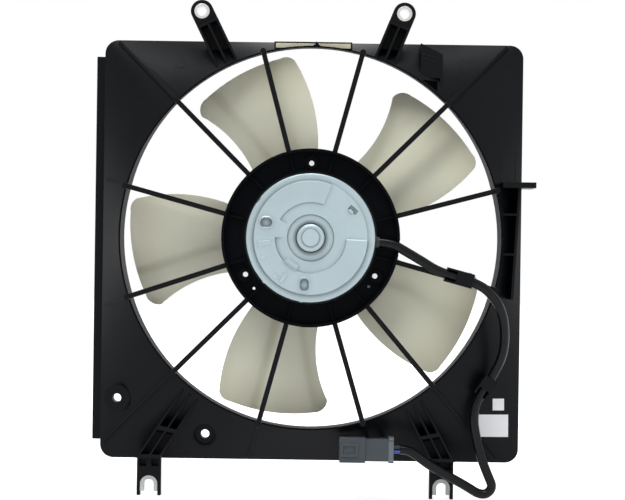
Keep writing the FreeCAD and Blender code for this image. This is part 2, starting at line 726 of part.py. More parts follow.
def roof_fittings(body):
    """The tab, the box and the channel ribs, before the roof closes them underneath."""
    ring = s.bore_radius + s.ring_wall
    tab = Drawing(body, "right_tab_outline", shift=-s.rim_back)
    tab.box(ring, s.tab_reach, s.tab_height - s.tab_thick / 2, s.tab_height + s.tab_thick / 2)
    pad(body, "right_tab", tab, s.rim_back + s.tab_back)
    side = Drawing(body, "channel_outline", shift=-s.rim_back)
    wall = s.body_right - s.channel_inset
    foot = wall - s.channel_lean
    side.loop((foot - s.wall, -s.channel_low), (foot, -s.channel_low), (wall, s.tab_height),
              (wall - s.wall, s.tab_height))
    pad(body, "channel_wall", side, s.rim_back + s.channel_back)
    cross = Drawing(body, "channel_rib_outline", shift=-s.rim_back)
    for height in (s.channel_rib_high, -s.channel_rib_low):
        share = (s.tab_height - height) / (s.tab_height + s.channel_low)
        end = wall - s.channel_lean * share - s.wall / 2
        cross.box(ring - 2, end, height, height + s.holder_rib)
    made = pad(body, "channel_ribs", cross, s.rim_back + s.channel_back)
    made.AllowMultiFace = True
    box = Drawing(body, "box_outline", shift=-s.rim_back)
    box.loop((s.box_left, s.box_low), (s.box_right, s.box_low),
             (s.box_right, s.body_top - s.body_corner), (s.box_left, s.body_top - s.wall))
    pad(body, "roof_box", box, s.rim_back + s.box_back)
    well = Drawing(body, "box_well_outline", shift=s.box_back)
    well.box(s.box_left + s.wall, s.box_right - s.wall, s.box_low - 1, s.box_low + s.box_well)
    pocket(body, "box_well", well, s.box_back)
    ledge = Drawing(body, "seal_ledge_outline", shift=-s.rim_back)
    ledge.box(-s.ledge_half, s.ledge_half, ring * cosine(12), s.ledge_high)
    pad(body, "seal_ledge", ledge, s.rim_back + s.roof_back)
    places = Drawing(body, "boss_outline", shift=s.wall - s.rim_back)
    places.circle(-s.side_boss_x, -s.side_boss_drop, s.boss_radius)
    places.circle(-s.low_boss_x, -s.low_boss_drop, s.boss_radius)
    made = pad(body, "bosses", places, s.rim_back - s.wall + s.boss_height)
    made.AllowMultiFace = True
    clip(body, "roof_clip", s.roof_clip_x, -s.roof_clip_drop, s.roof_clip_turn, s.roof_clip_long,
         s.roof_clip_bed, s.roof_clip_bed + (s.cable_radius + s.clip_gap) * 2)
    plates = Drawing(body, "bracket_outline", shift=s.wall - s.rim_back)
    start = s.plug_left + s.hood_long + s.bracket_inset
    step = s.body_long - s.bracket_inset * 2 - s.bracket_thick
    for left in (start, start + step):
        plates.box(left, left + s.bracket_thick, -s.plug_drop - s.bracket_half,
                   s.bracket_half - s.plug_drop)
    seat = s.plug_back - s.hood_deep + s.plug_taper
    made = pad(body, "connector_bracket", plates, seat + s.rim_back - s.wall)
    made.AllowMultiFace = True


def boss_openings(body):
    """The rim of the lower boss, and the openings that the bosses' tubes fill."""
    floor = Drawing(body, "boss_floor_outline")
    floor.circle(-s.low_boss_x, -s.low_boss_drop, s.boss_radius)
    pad(body, "boss_floor", floor, s.boss_height)
    holes = Drawing(body, "boss_opening_outline", shift=s.roof_back)
    holes.circle(-s.side_boss_x, -s.side_boss_drop, s.boss_tube)
    holes.circle(-s.low_boss_x, -s.low_boss_drop, s.cup_radius)
    pocket(body, "boss_openings", holes)


def boss_tube(name, x, drop, *profile):
    """A boss's tube, turned from its profile of radius and depth."""
    body = new_body(name, s.fan_axis_x - x, 0, -s.fan_axis_drop - drop)
    drawing = Drawing(body, name + "_profile", "XY_Plane").loop(*profile)
    revolve(body, name + "_turn", drawing)
    return body


def boss_tubes():
    """The tubes with the clearance holes, the lower one at the foot of its recess."""
    hole, tube_radius = s.boss_hole, s.boss_tube
    side = boss_tube("side_boss_tube", s.side_boss_x, s.side_boss_drop, (hole, -s.boss_height),
                     (tube_radius, -s.boss_height), (tube_radius, s.boss_front),
                     (hole, s.boss_front))
    low = boss_tube("low_boss_tube", s.low_boss_x, s.low_boss_drop, (hole, -s.wall),
                    (s.cup_radius, -s.wall), (s.cup_radius, 0), (tube_radius, 0),
                    (tube_radius, s.boss_front), (hole, s.boss_front))
    return side, low


def fan_ring():
    """The ring round the blades, deeper at both sides, with the gusset at its top."""
    inner, outer = s.bore_radius, s.bore_radius + s.ring_wall
    body = tube("fan_ring", inner, outer, -s.ring_back, -s.skirt_front)
    slopes = Drawing(body, "skirt_slopes", "YZ_Plane")
    front = 1 - s.skirt_front
    for side, back in ((1, s.ring_front), (-1, s.ring_low_front)):
        low, high, reach = s.skirt_low * side, s.skirt_high * side, (outer + 1) * side
        slopes.loop((front, low), (front, reach), (-back, reach), (-back, high))
    pocket(body, "skirt_cut", slopes, outer * 2 + 2, both_ways=True)
    end = inner + s.ring_wall / 2
    gusset = Drawing(body, "gusset_outline", shift=s.gusset_back - s.wall)
    gusset.loop((s.gusset_x - s.gusset_left, end), (s.gusset_x + s.gusset_right, end, -s.gusset_bend),
                (s.gusset_x, s.gusset_high, -s.gusset_bend))
    pad(body, "gusset", gusset, s.wall)
    web = Drawing(body, "gusset_web_outline", shift=s.gusset_back - s.wall)
    web.box(s.gusset_x - s.wall / 2, s.gusset_x + s.wall / 2, inner + 0.1, outer + s.wall / 2)
    pad(body, "gusset_web", web, s.ring_back + s.wall - s.gusset_back + 1)
    return body


def spokes():
    """The spokes with their round feet on the ring's edge, and the clip on one of them."""
    body = axis_body("spokes")
    end = s.bore_radius + s.ring_wall / 2
    drawing = bars(body, "spoke_outline", s.ring_back, s.holder_radius, end, s.spoke_width)
    rods = pad(body, "spoke_bars", drawing, s.spoke_back - s.ring_back)
    rods.AllowMultiFace = True
    feet = Drawing(body, "knob_outline", shift=s.ring_back)
    for turn in SPOKE_TURNS:
        feet.circle(*polar(end, turn), s.knob_radius)
    knobs = pad(body, "spoke_knobs", feet, s.spoke_back - s.ring_back + 1)
    knobs.AllowMultiFace = True
    spoke_clip(body)
    return body


def motor_holder():
    """The ring that carries the motor, with its collar, radial ribs and screw pads."""
    body = axis_body("motor_holder")
    hole, outer = s.motor_radius + s.motor_gap, s.holder_radius
    inside = outer - s.holder_wall
    floor = s.holder_seat + s.holder_floor
    profile = Drawing(body, "holder_profile", "XY_Plane")
    profile.loop((hole, -s.holder_seat), (hole, -s.holder_seat - s.holder_collar),
                 (hole + s.wall, -s.holder_seat - s.holder_collar), (hole + s.wall, -floor),
                 (inside, -floor), (inside, -s.holder_back), (outer, -s.holder_back),
                 (outer, -s.holder_seat))
    revolve(body, "motor_ring", profile)
    drawing = bars(body, "holder_rib_outline", s.holder_seat + 1, hole + 1, inside + 1, s.holder_rib)
    ribs = pad(body, "holder_ribs", drawing, s.holder_collar + 1)
    ribs.AllowMultiFace = True
    drawing = Drawing(body, "screw_pad_outline", shift=s.holder_seat)
    drawing.circle(*polar(s.screw_circle + 1.5, s.screw_turn), s.pad_radius)
    screw_pad = pad(body, "screw_pad", drawing, s.holder_collar + 1.5)
    repeat(body, "screw_pads", [screw_pad], s.screw_count)
    drawing = Drawing(body, "screw_hole_outline", shift=s.holder_back)
    drawing.circle(*polar(s.screw_circle, s.screw_turn), s.screw_radius + s.press_gap)
    hole_cut = pocket(body, "screw_hole", drawing)
    repeat(body, "screw_holes", [hole_cut], s.screw_count)
    small = Drawing(body, "floor_hole_outline", shift=s.holder_back)
    for turn in FLOOR_HOLE_TURNS:
        small.circle(*polar(s.floor_hole_circle, turn), s.floor_hole)
    pocket(body, "floor_holes", small)
    core = Drawing(body, "motor_hole_outline", shift=s.holder_back).circle(0, 0, hole)
    pocket(body, "motor_hole", core)
    lead_notch(body)
    return body


def lead_notch(body):
    """The notch in the motor ring that the leads pass through."""
    room = s.cable_radius + s.clip_gap
    notch = Drawing(body, "lead_notch_outline", shift=s.holder_back)
    notch.box(s.holder_radius - s.holder_wall * 2, s.holder_radius + 1,
              -s.notch_drop - s.notch_half, s.notch_half - s.notch_drop)
    pocket(body, "lead_notch", notch, s.holder_back - s.cable_back + room)


def spoke_clip(body):
    """The clip that holds the leads on the spoke below the right-hand side."""
    room = s.cable_radius + s.clip_gap
    turn = SPOKE_TURNS[-1]
    aside = s.clip_wall
    x = cosine(turn) * s.spoke_clip_out - sine(turn) * aside
    z = sine(turn) * s.spoke_clip_out + cosine(turn) * aside
    clip(body, "spoke_clip", x, z, turn, s.spoke_clip_long, s.spoke_back, s.spoke_back + room * 2)


def clip(body, name, x, z, turn, long, bed, top):
    """A channel along a direction that holds the sleeve, with a strap over half of it."""
    room = s.cable_radius + s.clip_gap
    outside = room + s.clip_wall
    cx, cz = cosine(turn), sine(turn)

    def place(out, offset):
        return x + cx * out - cz * offset, z + cz * out + cx * offset

    half = long / 2
    base_depth = s.wall * 2
    base = Drawing(body, name + "_base_outline", shift=bed - base_depth)
    base.loop(place(-half, -outside), place(half, -outside), place(half, outside),
              place(-half, outside))
    pad(body, name + "_base", base, base_depth)
    for side, near in (("low", -outside), ("high", room)):
        wall = Drawing(body, f"{name}_{side}_outline", shift=bed)
        wall.loop(place(-half, near), place(half, near), place(half, near + s.clip_wall),
                  place(-half, near + s.clip_wall))
        pad(body, f"{name}_{side}_wall", wall, top - bed)
    strap = Drawing(body, name + "_strap_outline", shift=top)
    strap.loop(place(-half / 4, -outside), place(half, -outside), place(half, outside),
               place(-half / 4, outside))
    pad(body, name + "_strap", strap, s.clip_wall)


# Fittings of the shroud


def upper_collar(name, side):
    """A steel collar that a bolt passes through, flush with both faces of its ear."""
    body = new_body(name, s.bolt_spacing / 2 * side)
    drawing = Drawing(body, name + "_outline").circle(0, 0, s.collar_radius)
    drawing.circle(0, 0, s.collar_bore)
    pad(body, name + "_pad", drawing, s.ear_tab_back + 0.4)
    return body


def fork_insert(name, fork_x):
    """A bent liner that the fork of a leg holds round the radiator's peg."""
    body = new_body(name, s.fan_axis_x + fork_x, 0, -s.fan_axis_drop - s.fork_drop)
    low = s.insert_stop - s.leg_end
    outer, inner = s.insert_radius, s.slot_radius
    drawing = Drawing(body, name + "_outline")
    drawing.loop((-outer, low), (-inner, low), (-inner, 0, -inner), (0, inner, -inner), (inner, 0),
                 (inner, low), (outer, low), (outer, 0, outer), (0, outer, outer), (-outer, 0))
    pad(body, name + "_pad", drawing, s.leg_thick)
    return body


def seal_strip():
    """The pale foam strip on the ledge above the opening; its middle follows the ring."""
    body = axis_body("seal_strip")
    round_ring = s.bore_radius + s.ring_wall + 0.3
    x, low = polar(round_ring, 90 - s.seal_turn)
    drawing = Drawing(body, "seal_outline", shift=s.roof_back)
    drawing.loop((-s.seal_half, low), (-x, low, -round_ring), (x, low), (s.seal_half, low),
                 (s.seal_half, s.seal_high), (-s.seal_half, s.seal_high))
    pad(body, "seal_pad", drawing, s.seal_thick)
    return body


# Fan wheel

# Outline of a blade: share of the way from hub to tip, angle from the middle line, and the
# radius of the edge that leaves the corner as a share of the blade's length
BLADE_OUTLINE = ((0.0, -26.5, 1.39), (0.965, -17.0, 0.11), (1.0, -12.5, 1.585),
                 (0.953, 15.0, 0.11), (0.857, 19.7, -1.08), (0.12, 20.1, None),
                 (0.0, 21.0, -0.6))
# Sections of a blade: distance from the axis, reach towards the trailing and leading edges,
# share of the leading depth between root and tip, and share of the camber
BLADE_SECTIONS = ((52, -34, 30, 0.0, 0.7), (92, -50, 38, 0.35, 1.0), (134, -57, 53, 0.75, 1.0),
                  (182, -60, 64, 1.0, 0.8))


def fan_hub():
    inner, outer = s.hub_radius - s.hub_wall, s.hub_radius
    plate = s.hub_face - s.hub_wall
    bore = s.shaft_radius + s.insert_wall + s.press_gap
    return turned("fan_hub", (
        (inner, -s.hub_back), (outer, -s.hub_back), (outer, s.hub_face - s.hub_bevel),
        (outer - s.hub_bevel, s.hub_face), (s.hub_boss_radius, s.hub_face),
        (s.hub_boss_radius, s.hub_boss_front), (bore, s.hub_boss_front), (bore, s.hub_boss_back),
        (s.hub_boss_radius, s.hub_boss_back), (s.hub_boss_radius, plate),
        (inner - s.hub_bevel, plate), (inner, plate - s.hub_bevel)))


def fan_blade():
    """One cambered blade, pointing right: lofted sections, cut to the blade's outline."""
    body = axis_body("fan_blade", s.first_blade)
    drawings = []
    for number, (out, trail, lead, rise, bow) in enumerate(BLADE_SECTIONS, start=1):
        start = (-s.blade_trail, as_size(trail))
        depth = s.blade_lead_root + (s.blade_lead_tip - s.blade_lead_root) * rise
        end = (depth, as_size(lead))
        half = length_of(end[0] - start[0], end[1] - start[1]) / 2
        camber = s.blade_camber * bow
        radius = (half * half + camber * camber) / (camber * 2)
        thick = s.blade_thick
        drawing = Drawing(body, f"section_{number}", "YZ_Plane", shift=out)
        drawing.loop((*start, -radius), end, (end[0] + thick, end[1], radius),
                     (start[0] + thick, start[1]))
        drawings.append(drawing)
    loft(body, "blade_sheet", drawings, straight=False)
    root = s.hub_radius - s.hub_wall / 2
    span = s.tip_radius - root

    def corner(share, turn, bend):
        place = polar(root + span * share, turn)
        return place if bend is None else (*place, span * bend)

    cutter = Drawing(body, "blade_outline")
    reach = s.tip_radius + 40
    cutter.box(-reach, reach, -reach, reach)
    cutter.loop(*(corner(*station) for station in BLADE_OUTLINE))
    pocket(body, "blade_trim", cutter, s.tip_radius * 2, both_ways=True)
    return body


def fan_wheel():
    """The hub with its blades, one moulding."""
    hub, blade = fan_hub(), fan_blade()
    doc.recompute()
    blades = [blade]
    for number in range(1, int(s.blade_count.value)):
        copy = doc.addObject("App::Link", f"blade_copy_{number}")
        copy.LinkedObject = blade
        copy.LinkTransform = False
        turn = s.first_blade + Size(360.0, "360") / s.blade_count * number
        copy.Placement = Placement(Vector(), Rotation(Vector(0, -1, 0), turn.value))
        tie(copy, "Placement.Rotation.Angle", turn)
        tie(copy, "Placement.Base.x", s.fan_axis_x)
        tie(copy, "Placement.Base.z", -s.fan_axis_drop)
        blades.append(copy)
    wheel = doc.addObject("Part::MultiFuse", "fan_wheel")
    wheel.Label = "fan_wheel"
    wheel.Shapes = [hub] + blades
    wheel.Refine = False
    return wheel


def hub_fastening():
    """The steel insert of the hub, and the washer and nut that hold it on the shaft."""
    outer = s.shaft_radius + s.insert_wall
    insert = tube("fan_hub_insert", s.shaft_radius, outer, s.hub_boss_back, s.hub_boss_front)
    top = s.hub_boss_front + s.washer_thick
    bore = s.thread_radius + s.press_gap
    washer = tube("fan_washer", bore, s.washer_radius, s.hub_boss_front, top)
    nut = axis_body("fan_nut")
    corner = s.nut_flat / cosine(30)
    drawing = Drawing(nut, "nut_outline", shift=-top)
    drawing.loop(*(polar(corner, 60 * number) for number in range(6)))
    drawing.circle(0, 0, bore)
    pad(nut, "nut_pad", drawing, s.nut_high, forward=True)
    return insert, washer, nut


# Motor


def motor_shell():
    """The can, its rear cover and the flange that the screws pull onto the shroud."""
    inner, outer = s.motor_radius - s.can_wall, s.motor_radius
    seat = s.race_radius + s.press_gap
    housing = seat + s.housing_wall
    shaft_hole = s.race_radius - s.race_wall * 2
    deep = -s.can_wall - s.race_width - 1
    can = turned("motor_can", (
        (shaft_hole, 0), (outer, 0), (outer, -s.can_back), (inner, -s.can_back),
        (inner, -s.can_wall), (housing, -s.can_wall), (housing, deep), (seat, deep),
        (seat, -s.can_wall), (shaft_hole, -s.can_wall)), s.cable_turn)
    hole = Drawing(can, "lead_hole_outline", "YZ_Plane")
    hole.circle(-s.cable_back, 0, s.cable_radius + s.clip_wall / 2)
    cut = pocket(can, "lead_hole", hole)
    cut.Reversed = True
    cover = rear_cover()
    flange = axis_body("motor_flange")
    drawing = Drawing(flange, "flange_ring_outline", shift=s.holder_seat - s.flange_plate)
    drawing.circle(0, 0, s.flange_ring)
    pad(flange, "flange_ring_pad", drawing, s.flange_plate)
    drawing = Drawing(flange, "lug_outline", shift=s.holder_seat - s.flange_plate)
    drawing.circle(*polar(s.screw_circle, s.screw_turn), s.pad_radius - 0.6)
    lug = pad(flange, "lug", drawing, s.flange_plate)
    repeat(flange, "lugs", [lug], s.screw_count)
    drawing = Drawing(flange, "lug_hole_outline", shift=s.holder_seat)
    drawing.circle(*polar(s.screw_circle, s.screw_turn), s.screw_radius + s.press_gap)
    hole_cut = pocket(flange, "lug_hole", drawing)
    repeat(flange, "lug_holes", [hole_cut], s.screw_count)
    drawing = Drawing(flange, "flange_hole_outline", shift=s.holder_seat)
    drawing.circle(0, 0, s.motor_radius + s.press_gap)
    pocket(flange, "flange_hole", drawing)
    screws = axis_body("motor_screws")
    seat_depth = s.holder_seat - s.flange_plate
    drawing = Drawing(screws, "head_outline", shift=seat_depth - s.screw_head_high)
    drawing.circle(*polar(s.screw_circle, s.screw_turn), s.screw_head)
    head = pad(screws, "screw_head_pad", drawing, s.screw_head_high)
    drawing = Drawing(screws, "shank_outline", shift=seat_depth)
    drawing.circle(*polar(s.screw_circle, s.screw_turn), s.screw_radius)
    shank = pad(screws, "screw_shank", drawing, s.screw_length)
    repeat(screws, "screws", [head, shank], s.screw_count)
    return can, cover, flange, screws


# Low ribs of the rear cover, as angles, and its windows: angle, width and height
COVER_RIBS = (-2, 69, 180, 215)
COVER_WINDOWS = ((162.4, 12.5, 9.1), (262.7, 8.8, 12.5))


def rear_cover():
    """The pressed rear cover: low rim, raised disc and bearing boss, ribs and two windows."""
    inside = s.cover_back - s.cover_wall
    rim = s.cover_back - s.cover_rim_step
    disc = s.cover_back + s.cover_disc_step
    cover = turned("motor_rear_cover", (
        (0, -s.cover_boss_back - s.cover_button_step),
        (s.cover_button, -s.cover_boss_back - s.cover_button_step),
        (s.cover_button, -s.cover_boss_back), (s.cover_boss, -s.cover_boss_back),
        (s.cover_boss, -disc), (s.cover_disc, -disc), (s.cover_disc, -s.cover_back),
        (s.cover_rim, -s.cover_back), (s.cover_rim, -rim), (s.motor_radius, -rim),
        (s.motor_radius, -s.can_back), (s.plate_radius + s.press_gap, -s.can_back),
        (s.plate_radius + s.press_gap, -inside), (s.bush_radius + s.press_gap, -inside),
        (s.bush_radius + s.press_gap, -s.shaft_back - 1), (0, -s.shaft_back - 1)))
    bars = Drawing(cover, "cover_rib_outline", shift=s.cover_back)
    half = s.cover_rib_half
    for turn in COVER_RIBS:
        cx, cz = cosine(turn), sine(turn)
        sides = ((s.cover_disc - 1, -half), (s.cover_rim - 1, -half), (s.cover_rim - 1, half),
                 (s.cover_disc - 1, half))
        bars.loop(*((cx * out - cz * aside, cz * out + cx * aside) for out, aside in sides))
    pad(cover, "cover_ribs", bars, s.cover_rib_high)
    windows = Drawing(cover, "window_outline", shift=s.cover_boss_back)
    for turn, wide, high in COVER_WINDOWS:
        x, z = polar(s.window_circle, turn)
        a, b = wide / 2, high / 2
        r = min(a, b) * 0.98
        windows.loop((x + a, z + r - b), (x + a, z + b - r, r), (x + a - r, z + b),
                     (x + r - a, z + b, r), (x - a, z + b - r), (x - a, z + r - b, r),
                     (x + r - a, z - b), (x + a - r, z - b, r))
    pocket(cover, "windows", windows)
    return cover


def shaft_and_bearings():
    """The shaft with its threaded end, the front ball bearing, the rear bush and its washer."""
    shaft = turned("motor_shaft", (
        (0, -s.shaft_back), (s.shaft_radius, -s.shaft_back), (s.shaft_radius, s.hub_boss_front),
        (s.thread_radius, s.hub_boss_front), (s.thread_radius, s.shaft_front - 1),
        (s.thread_radius - 0.8, s.shaft_front), (0, s.shaft_front)))
    back, front = -s.can_wall - s.race_width, -s.can_wall
    low, high = s.shaft_radius + s.race_wall, s.race_radius - s.race_wall
    inner = tube("bearing_inner_ring", s.shaft_radius + s.press_gap, low, back, front - 0.3)
    outer = tube("bearing_outer_ring", high, s.race_radius, back, front)
    balls = axis_body("bearing_balls")
    ball = balls.newObject("PartDesign::AdditiveSphere", "ball")
    tie(ball, "Radius", (high - low) / 2 - s.press_gap)
    tie(ball, "Placement.Base.x", (low + high) / 2)
    tie(ball, "Placement.Base.y", (back + front) / 2)
    repeat(balls, "balls", [ball], s.ball_count)
    bush = tube("rear_bush", s.shaft_radius + s.run_gap, s.bush_radius, 0.5 - s.shaft_back,
                -s.bush_front)
    washer = tube("thrust_washer", s.shaft_radius + s.press_gap, s.bush_radius - 1.5,
                  0.05 - s.bush_front, -s.commutator_back - 0.05)
    return shaft, inner, outer, balls, bush, washer


def field_and_armature():
    """The magnets in the can, and the armature with its coils and commutator."""
    outer = s.motor_radius - s.can_wall - s.press_gap
    inner = outer - s.magnet_thick
    half = s.magnet_span / 2
    magnets = axis_body("field_magnets")
    drawing = Drawing(magnets, "magnet_outline", shift=s.magnet_front)
    drawing.loop((*polar(outer, 45 - half), outer), (*polar(outer, 45), outer),
                 polar(outer, 45 + half), (*polar(inner, 45 + half), -inner),
                 (*polar(inner, 45), -inner), polar(inner, 45 - half))
    magnet = pad(magnets, "magnet", drawing, s.magnet_back - s.magnet_front)
    repeat(magnets, "magnets", [magnet], s.magnet_count)
    core_radius = inner - s.air_gap
    core = tube("armature_core", s.shaft_radius + s.press_gap, core_radius, -s.core_back,
                -s.core_front)
    drawing = Drawing(core, "slot_outline", shift=s.core_back)
    drawing.box(core_radius - s.slot_depth, core_radius + 1, -s.slot_width / 2, s.slot_width / 2)
    slot = pocket(core, "slot", drawing, s.core_back)
    repeat(core, "slots", [slot], s.slot_count)
    windings = axis_body("armature_windings")
    low, high = core_radius - s.slot_depth * 1.6, core_radius - 3
    round_off = s.coil_overhang / 3
    for name, near, far in (("rear", -s.core_back, -s.core_back - s.coil_overhang),
                            ("front", -s.core_front, s.coil_overhang - s.core_front)):
        bend = round_off if name == "front" else -round_off
        near = near + (0.2 if name == "front" else -0.2)
        drawing = Drawing(windings, name + "_coil_profile", "XY_Plane")
        drawing.loop((low, near), (high, near), (high, far - bend), (high - round_off, far),
                     (low + round_off, far), (low, far - bend))
        revolve(windings, name + "_coil", drawing)
    bar = Drawing(windings, "bar_outline", shift=s.core_front)
    side = s.slot_width / 2 - 0.4
    bar.box(core_radius - s.slot_depth + 0.5, high - 0.5, -side, side)
    wound = pad(windings, "bar", bar, s.core_back - s.core_front)
    repeat(windings, "bars", [wound], s.slot_count)
    commutator = tube("commutator", s.shaft_radius + s.press_gap, s.commutator_radius,
                      -s.commutator_back, -s.commutator_front)
    drawing = Drawing(commutator, "segment_gap_outline", shift=s.commutator_back)
    drawing.box(s.commutator_radius - 0.8, s.commutator_radius + 1, -0.3, 0.3)
    gap = pocket(commutator, "segment_gap", drawing, s.commutator_back - s.commutator_front - 1)
    repeat(commutator, "segment_gaps", [gap], s.slot_count)
    return magnets, core, windings, commutator


def brush_gear():
    """The brush plate with its holders and chokes, and the sprung carbon brushes."""
    plate_back = s.cover_back - s.cover_wall - s.press_gap
    plate_front = plate_back - s.plate_thick
    plate = tube("brush_plate", s.commutator_radius + s.box_start, s.plate_radius, -plate_back,
                 -plate_front)
    brush_back = plate_front - s.holder_sheet - s.brush_gap
    brush_front = brush_back - s.brush_thick
    half = s.brush_width / 2
    start = s.commutator_radius + s.box_start
    room, skin = s.brush_gap, s.brush_gap + s.holder_sheet
    holders = axis_body("brush_holders")
    drawing = Drawing(holders, "holder_outline", "YZ_Plane", shift=start)
    drawing.box(-brush_back - skin, skin - brush_front, -half - skin, half + skin)
    drawing.box(-brush_back - room, room - brush_front, -half - room, half + room)
    sleeve = pad(holders, "holder", drawing, s.box_long)
    drawing = Drawing(holders, "holder_end_outline", "YZ_Plane", shift=start + s.box_long)
    drawing.box(-brush_back - skin, skin - brush_front, -half - skin, half + skin)
    end = pad(holders, "holder_end", drawing, s.holder_sheet)
    repeat(holders, "holders", [sleeve, end], s.brush_count)
    chokes = axis_body("suppression_chokes", 45)
    drawing = Drawing(chokes, "choke_outline", "XY_Plane")
    drawing.circle(s.choke_out, s.choke_radius + s.press_gap - plate_front, s.choke_radius)
    choke = pad(chokes, "choke", drawing, s.choke_long, both_ways=True)
    repeat(chokes, "chokes", [choke], 2)
    made = [plate, holders, chokes]
    for number in range(int(s.brush_count.value)):
        turn = Size(360.0, "360") / s.brush_count * number
        brush = axis_body(f"brush_{number + 1}", turn)
        inner = s.commutator_radius + s.press_gap
        drawing = Drawing(brush, "brush_outline", "YZ_Plane", shift=inner)
        drawing.box(-brush_back, -brush_front, -half, half)
        pad(brush, "brush", drawing, s.brush_long)
        spring = axis_body(f"brush_spring_{number + 1}", turn)
        drawing = Drawing(spring, "spring_outline", "YZ_Plane", shift=inner + s.brush_long)
        middle = -(brush_back + brush_front) / 2
        drawing.circle(middle, 0, s.spring_radius).circle(middle, 0, s.spring_radius * 0.7)
        pad(spring, "spring", drawing, start + s.box_long - inner - s.brush_long)
        made += [brush, spring]
    return made


# Leads and connector

# The sleeve's route past its first straight stretch, from the fan axis: right, back, up
LEAD_ROUTE = ((88, -47.5, -10.8), (104, -49.2, -20.0), (121.0, -49.2, -30.6),
              (157.7, -49.2, -40.4), (172.5, -49.4, -53.0), (181.5, -42.0, -69.0),
              (185.0, -33.5, -88.0), (184.5, -25.0, -107.0), (177.8, -18.6, -125.2),
              (159.8, -19.4, -152.9), (157.2, -19.8, -171.5), (160.5, -20.2, -190.0),
              (165.5, -20.8, -208.0), (171.5, -21.5, -223.0), (177.0, -22.0, -235.5),
              (167.0, -22.0, -243.6), (149.0, -22.0, -232.6), (131.5, -23.0, -223.2),
              (115.0, -25.8, -213.6), (103.5, -27.8, -205.0))


def lead_points():
    """The sleeve's whole route in the part's frame, from the grommet to the bare leads."""
    axis = Vector(s.fan_axis_x.value, 0, -s.fan_axis_drop.value)
    exits = [polar(s.grommet_front + gap, s.cable_turn) for gap in (0, 12)]
    points = [Vector(x.value, -s.cable_back.value, z.value) for x, z in exits]
    points += [Vector(*place) for place in LEAD_ROUTE]
    end = s.plug_left + s.hood_long + s.body_long + s.cap_long + s.wire_free
    depth = -s.plug_back + s.hood_deep / 2
    for gap in (7.5, 0):
        points.append(Vector(end.value + gap, depth.value, -s.plug_drop.value))
    return [point + axis for point in points]


def round_tube(points, radius):
    """A round bar along straight runs joined by arcs that touch them."""
    runs = [b - a for a, b in zip(points, points[1:])]
    edges, start, bends = [], points[0], []
    for corner, before, after in zip(points[1:-1], runs, runs[1:]):
        turn = before.getAngle(after)
        reach = 0.45 * min(before.Length, after.Length)
        bend = reach / math.tan(turn / 2)
        arc_start = corner - before.normalize() * reach
        arc_end = corner + Vector(after).normalize() * reach
        out = (Vector(after).normalize() - before).normalize()
        centre = corner + out * math.hypot(bend, reach)
        edges.append(Part.LineSegment(start, arc_start).toShape())
        edges.append(Part.Arc(arc_start, centre - out * bend, arc_end).toShape())
        start = arc_end
        bends.append(bend)
    edges.append(Part.LineSegment(start, points[-1]).toShape())
    path = Part.Wire(edges)
    ring = Part.Wire(Part.Circle(points[0], points[1] - points[0], radius).toShape())
    solid = path.makePipeShell([ring], True, True)
    print("bend radii:", ", ".join(f"{bend:.0f}" for bend in bends))
    print(f"sleeve {path.Length:.1f} mm, volume over section times length "
          f"{solid.Volume / (math.pi * radius ** 2 * path.Length):.4f}")
    return solid


def leads():
    """The grommet in the can, the vinyl sleeve, and the two leads that leave its end."""
    grommet = new_body("lead_grommet", s.fan_axis_x, -s.cable_back, -s.fan_axis_drop, s.cable_turn)
    bore = s.cable_radius - 1
    hole = s.cable_radius + s.clip_wall / 2 - s.press_gap
    lip = s.motor_radius + 0.4
    drawing = Drawing(grommet, "grommet_outline", "YZ_Plane", shift=s.grommet_back)
    drawing.circle(0, 0, hole)
    pad(grommet, "grommet_body", drawing, s.grommet_front - s.grommet_back)
    drawing = Drawing(grommet, "grommet_lip_outline", "YZ_Plane", shift=lip)
    drawing.circle(0, 0, hole + s.grommet_lip)
    pad(grommet, "grommet_lip", drawing, s.grommet_lip)
    drawing = Drawing(grommet, "grommet_bore_outline", "YZ_Plane", shift=s.grommet_back - 1)
    drawing.circle(0, 0, bore)
    pocket(grommet, "grommet_bore", drawing, s.grommet_front - s.grommet_back - 2, backward=True)
    sleeve = doc.addObject("Part::Feature", "harness_sleeve")
    sleeve.Label = "harness_sleeve"
    sleeve.Shape = round_tube(lead_points(), s.cable_radius.value)
    made = [grommet, sleeve]
    for name, side in (("wire_black", 1), ("wire_blue", -1)):
        wire = connector_body(name)
        start = s.hood_long + s.body_long
        drawing = Drawing(wire, name + "_outline", "YZ_Plane", shift=start)
        drawing.circle(0, s.wire_gap / 2 * side, s.wire_radius)
        pad(wire, name + "_pad", drawing, s.cap_long + s.wire_free)
        made.append(wire)
    return made


def connector_body(name):
    """A body whose origin is the middle of the connector's mouth."""
    return new_body(name, s.fan_axis_x + s.plug_left, s.hood_deep / 2 - s.plug_back,
                    -s.fan_axis_drop - s.plug_drop)


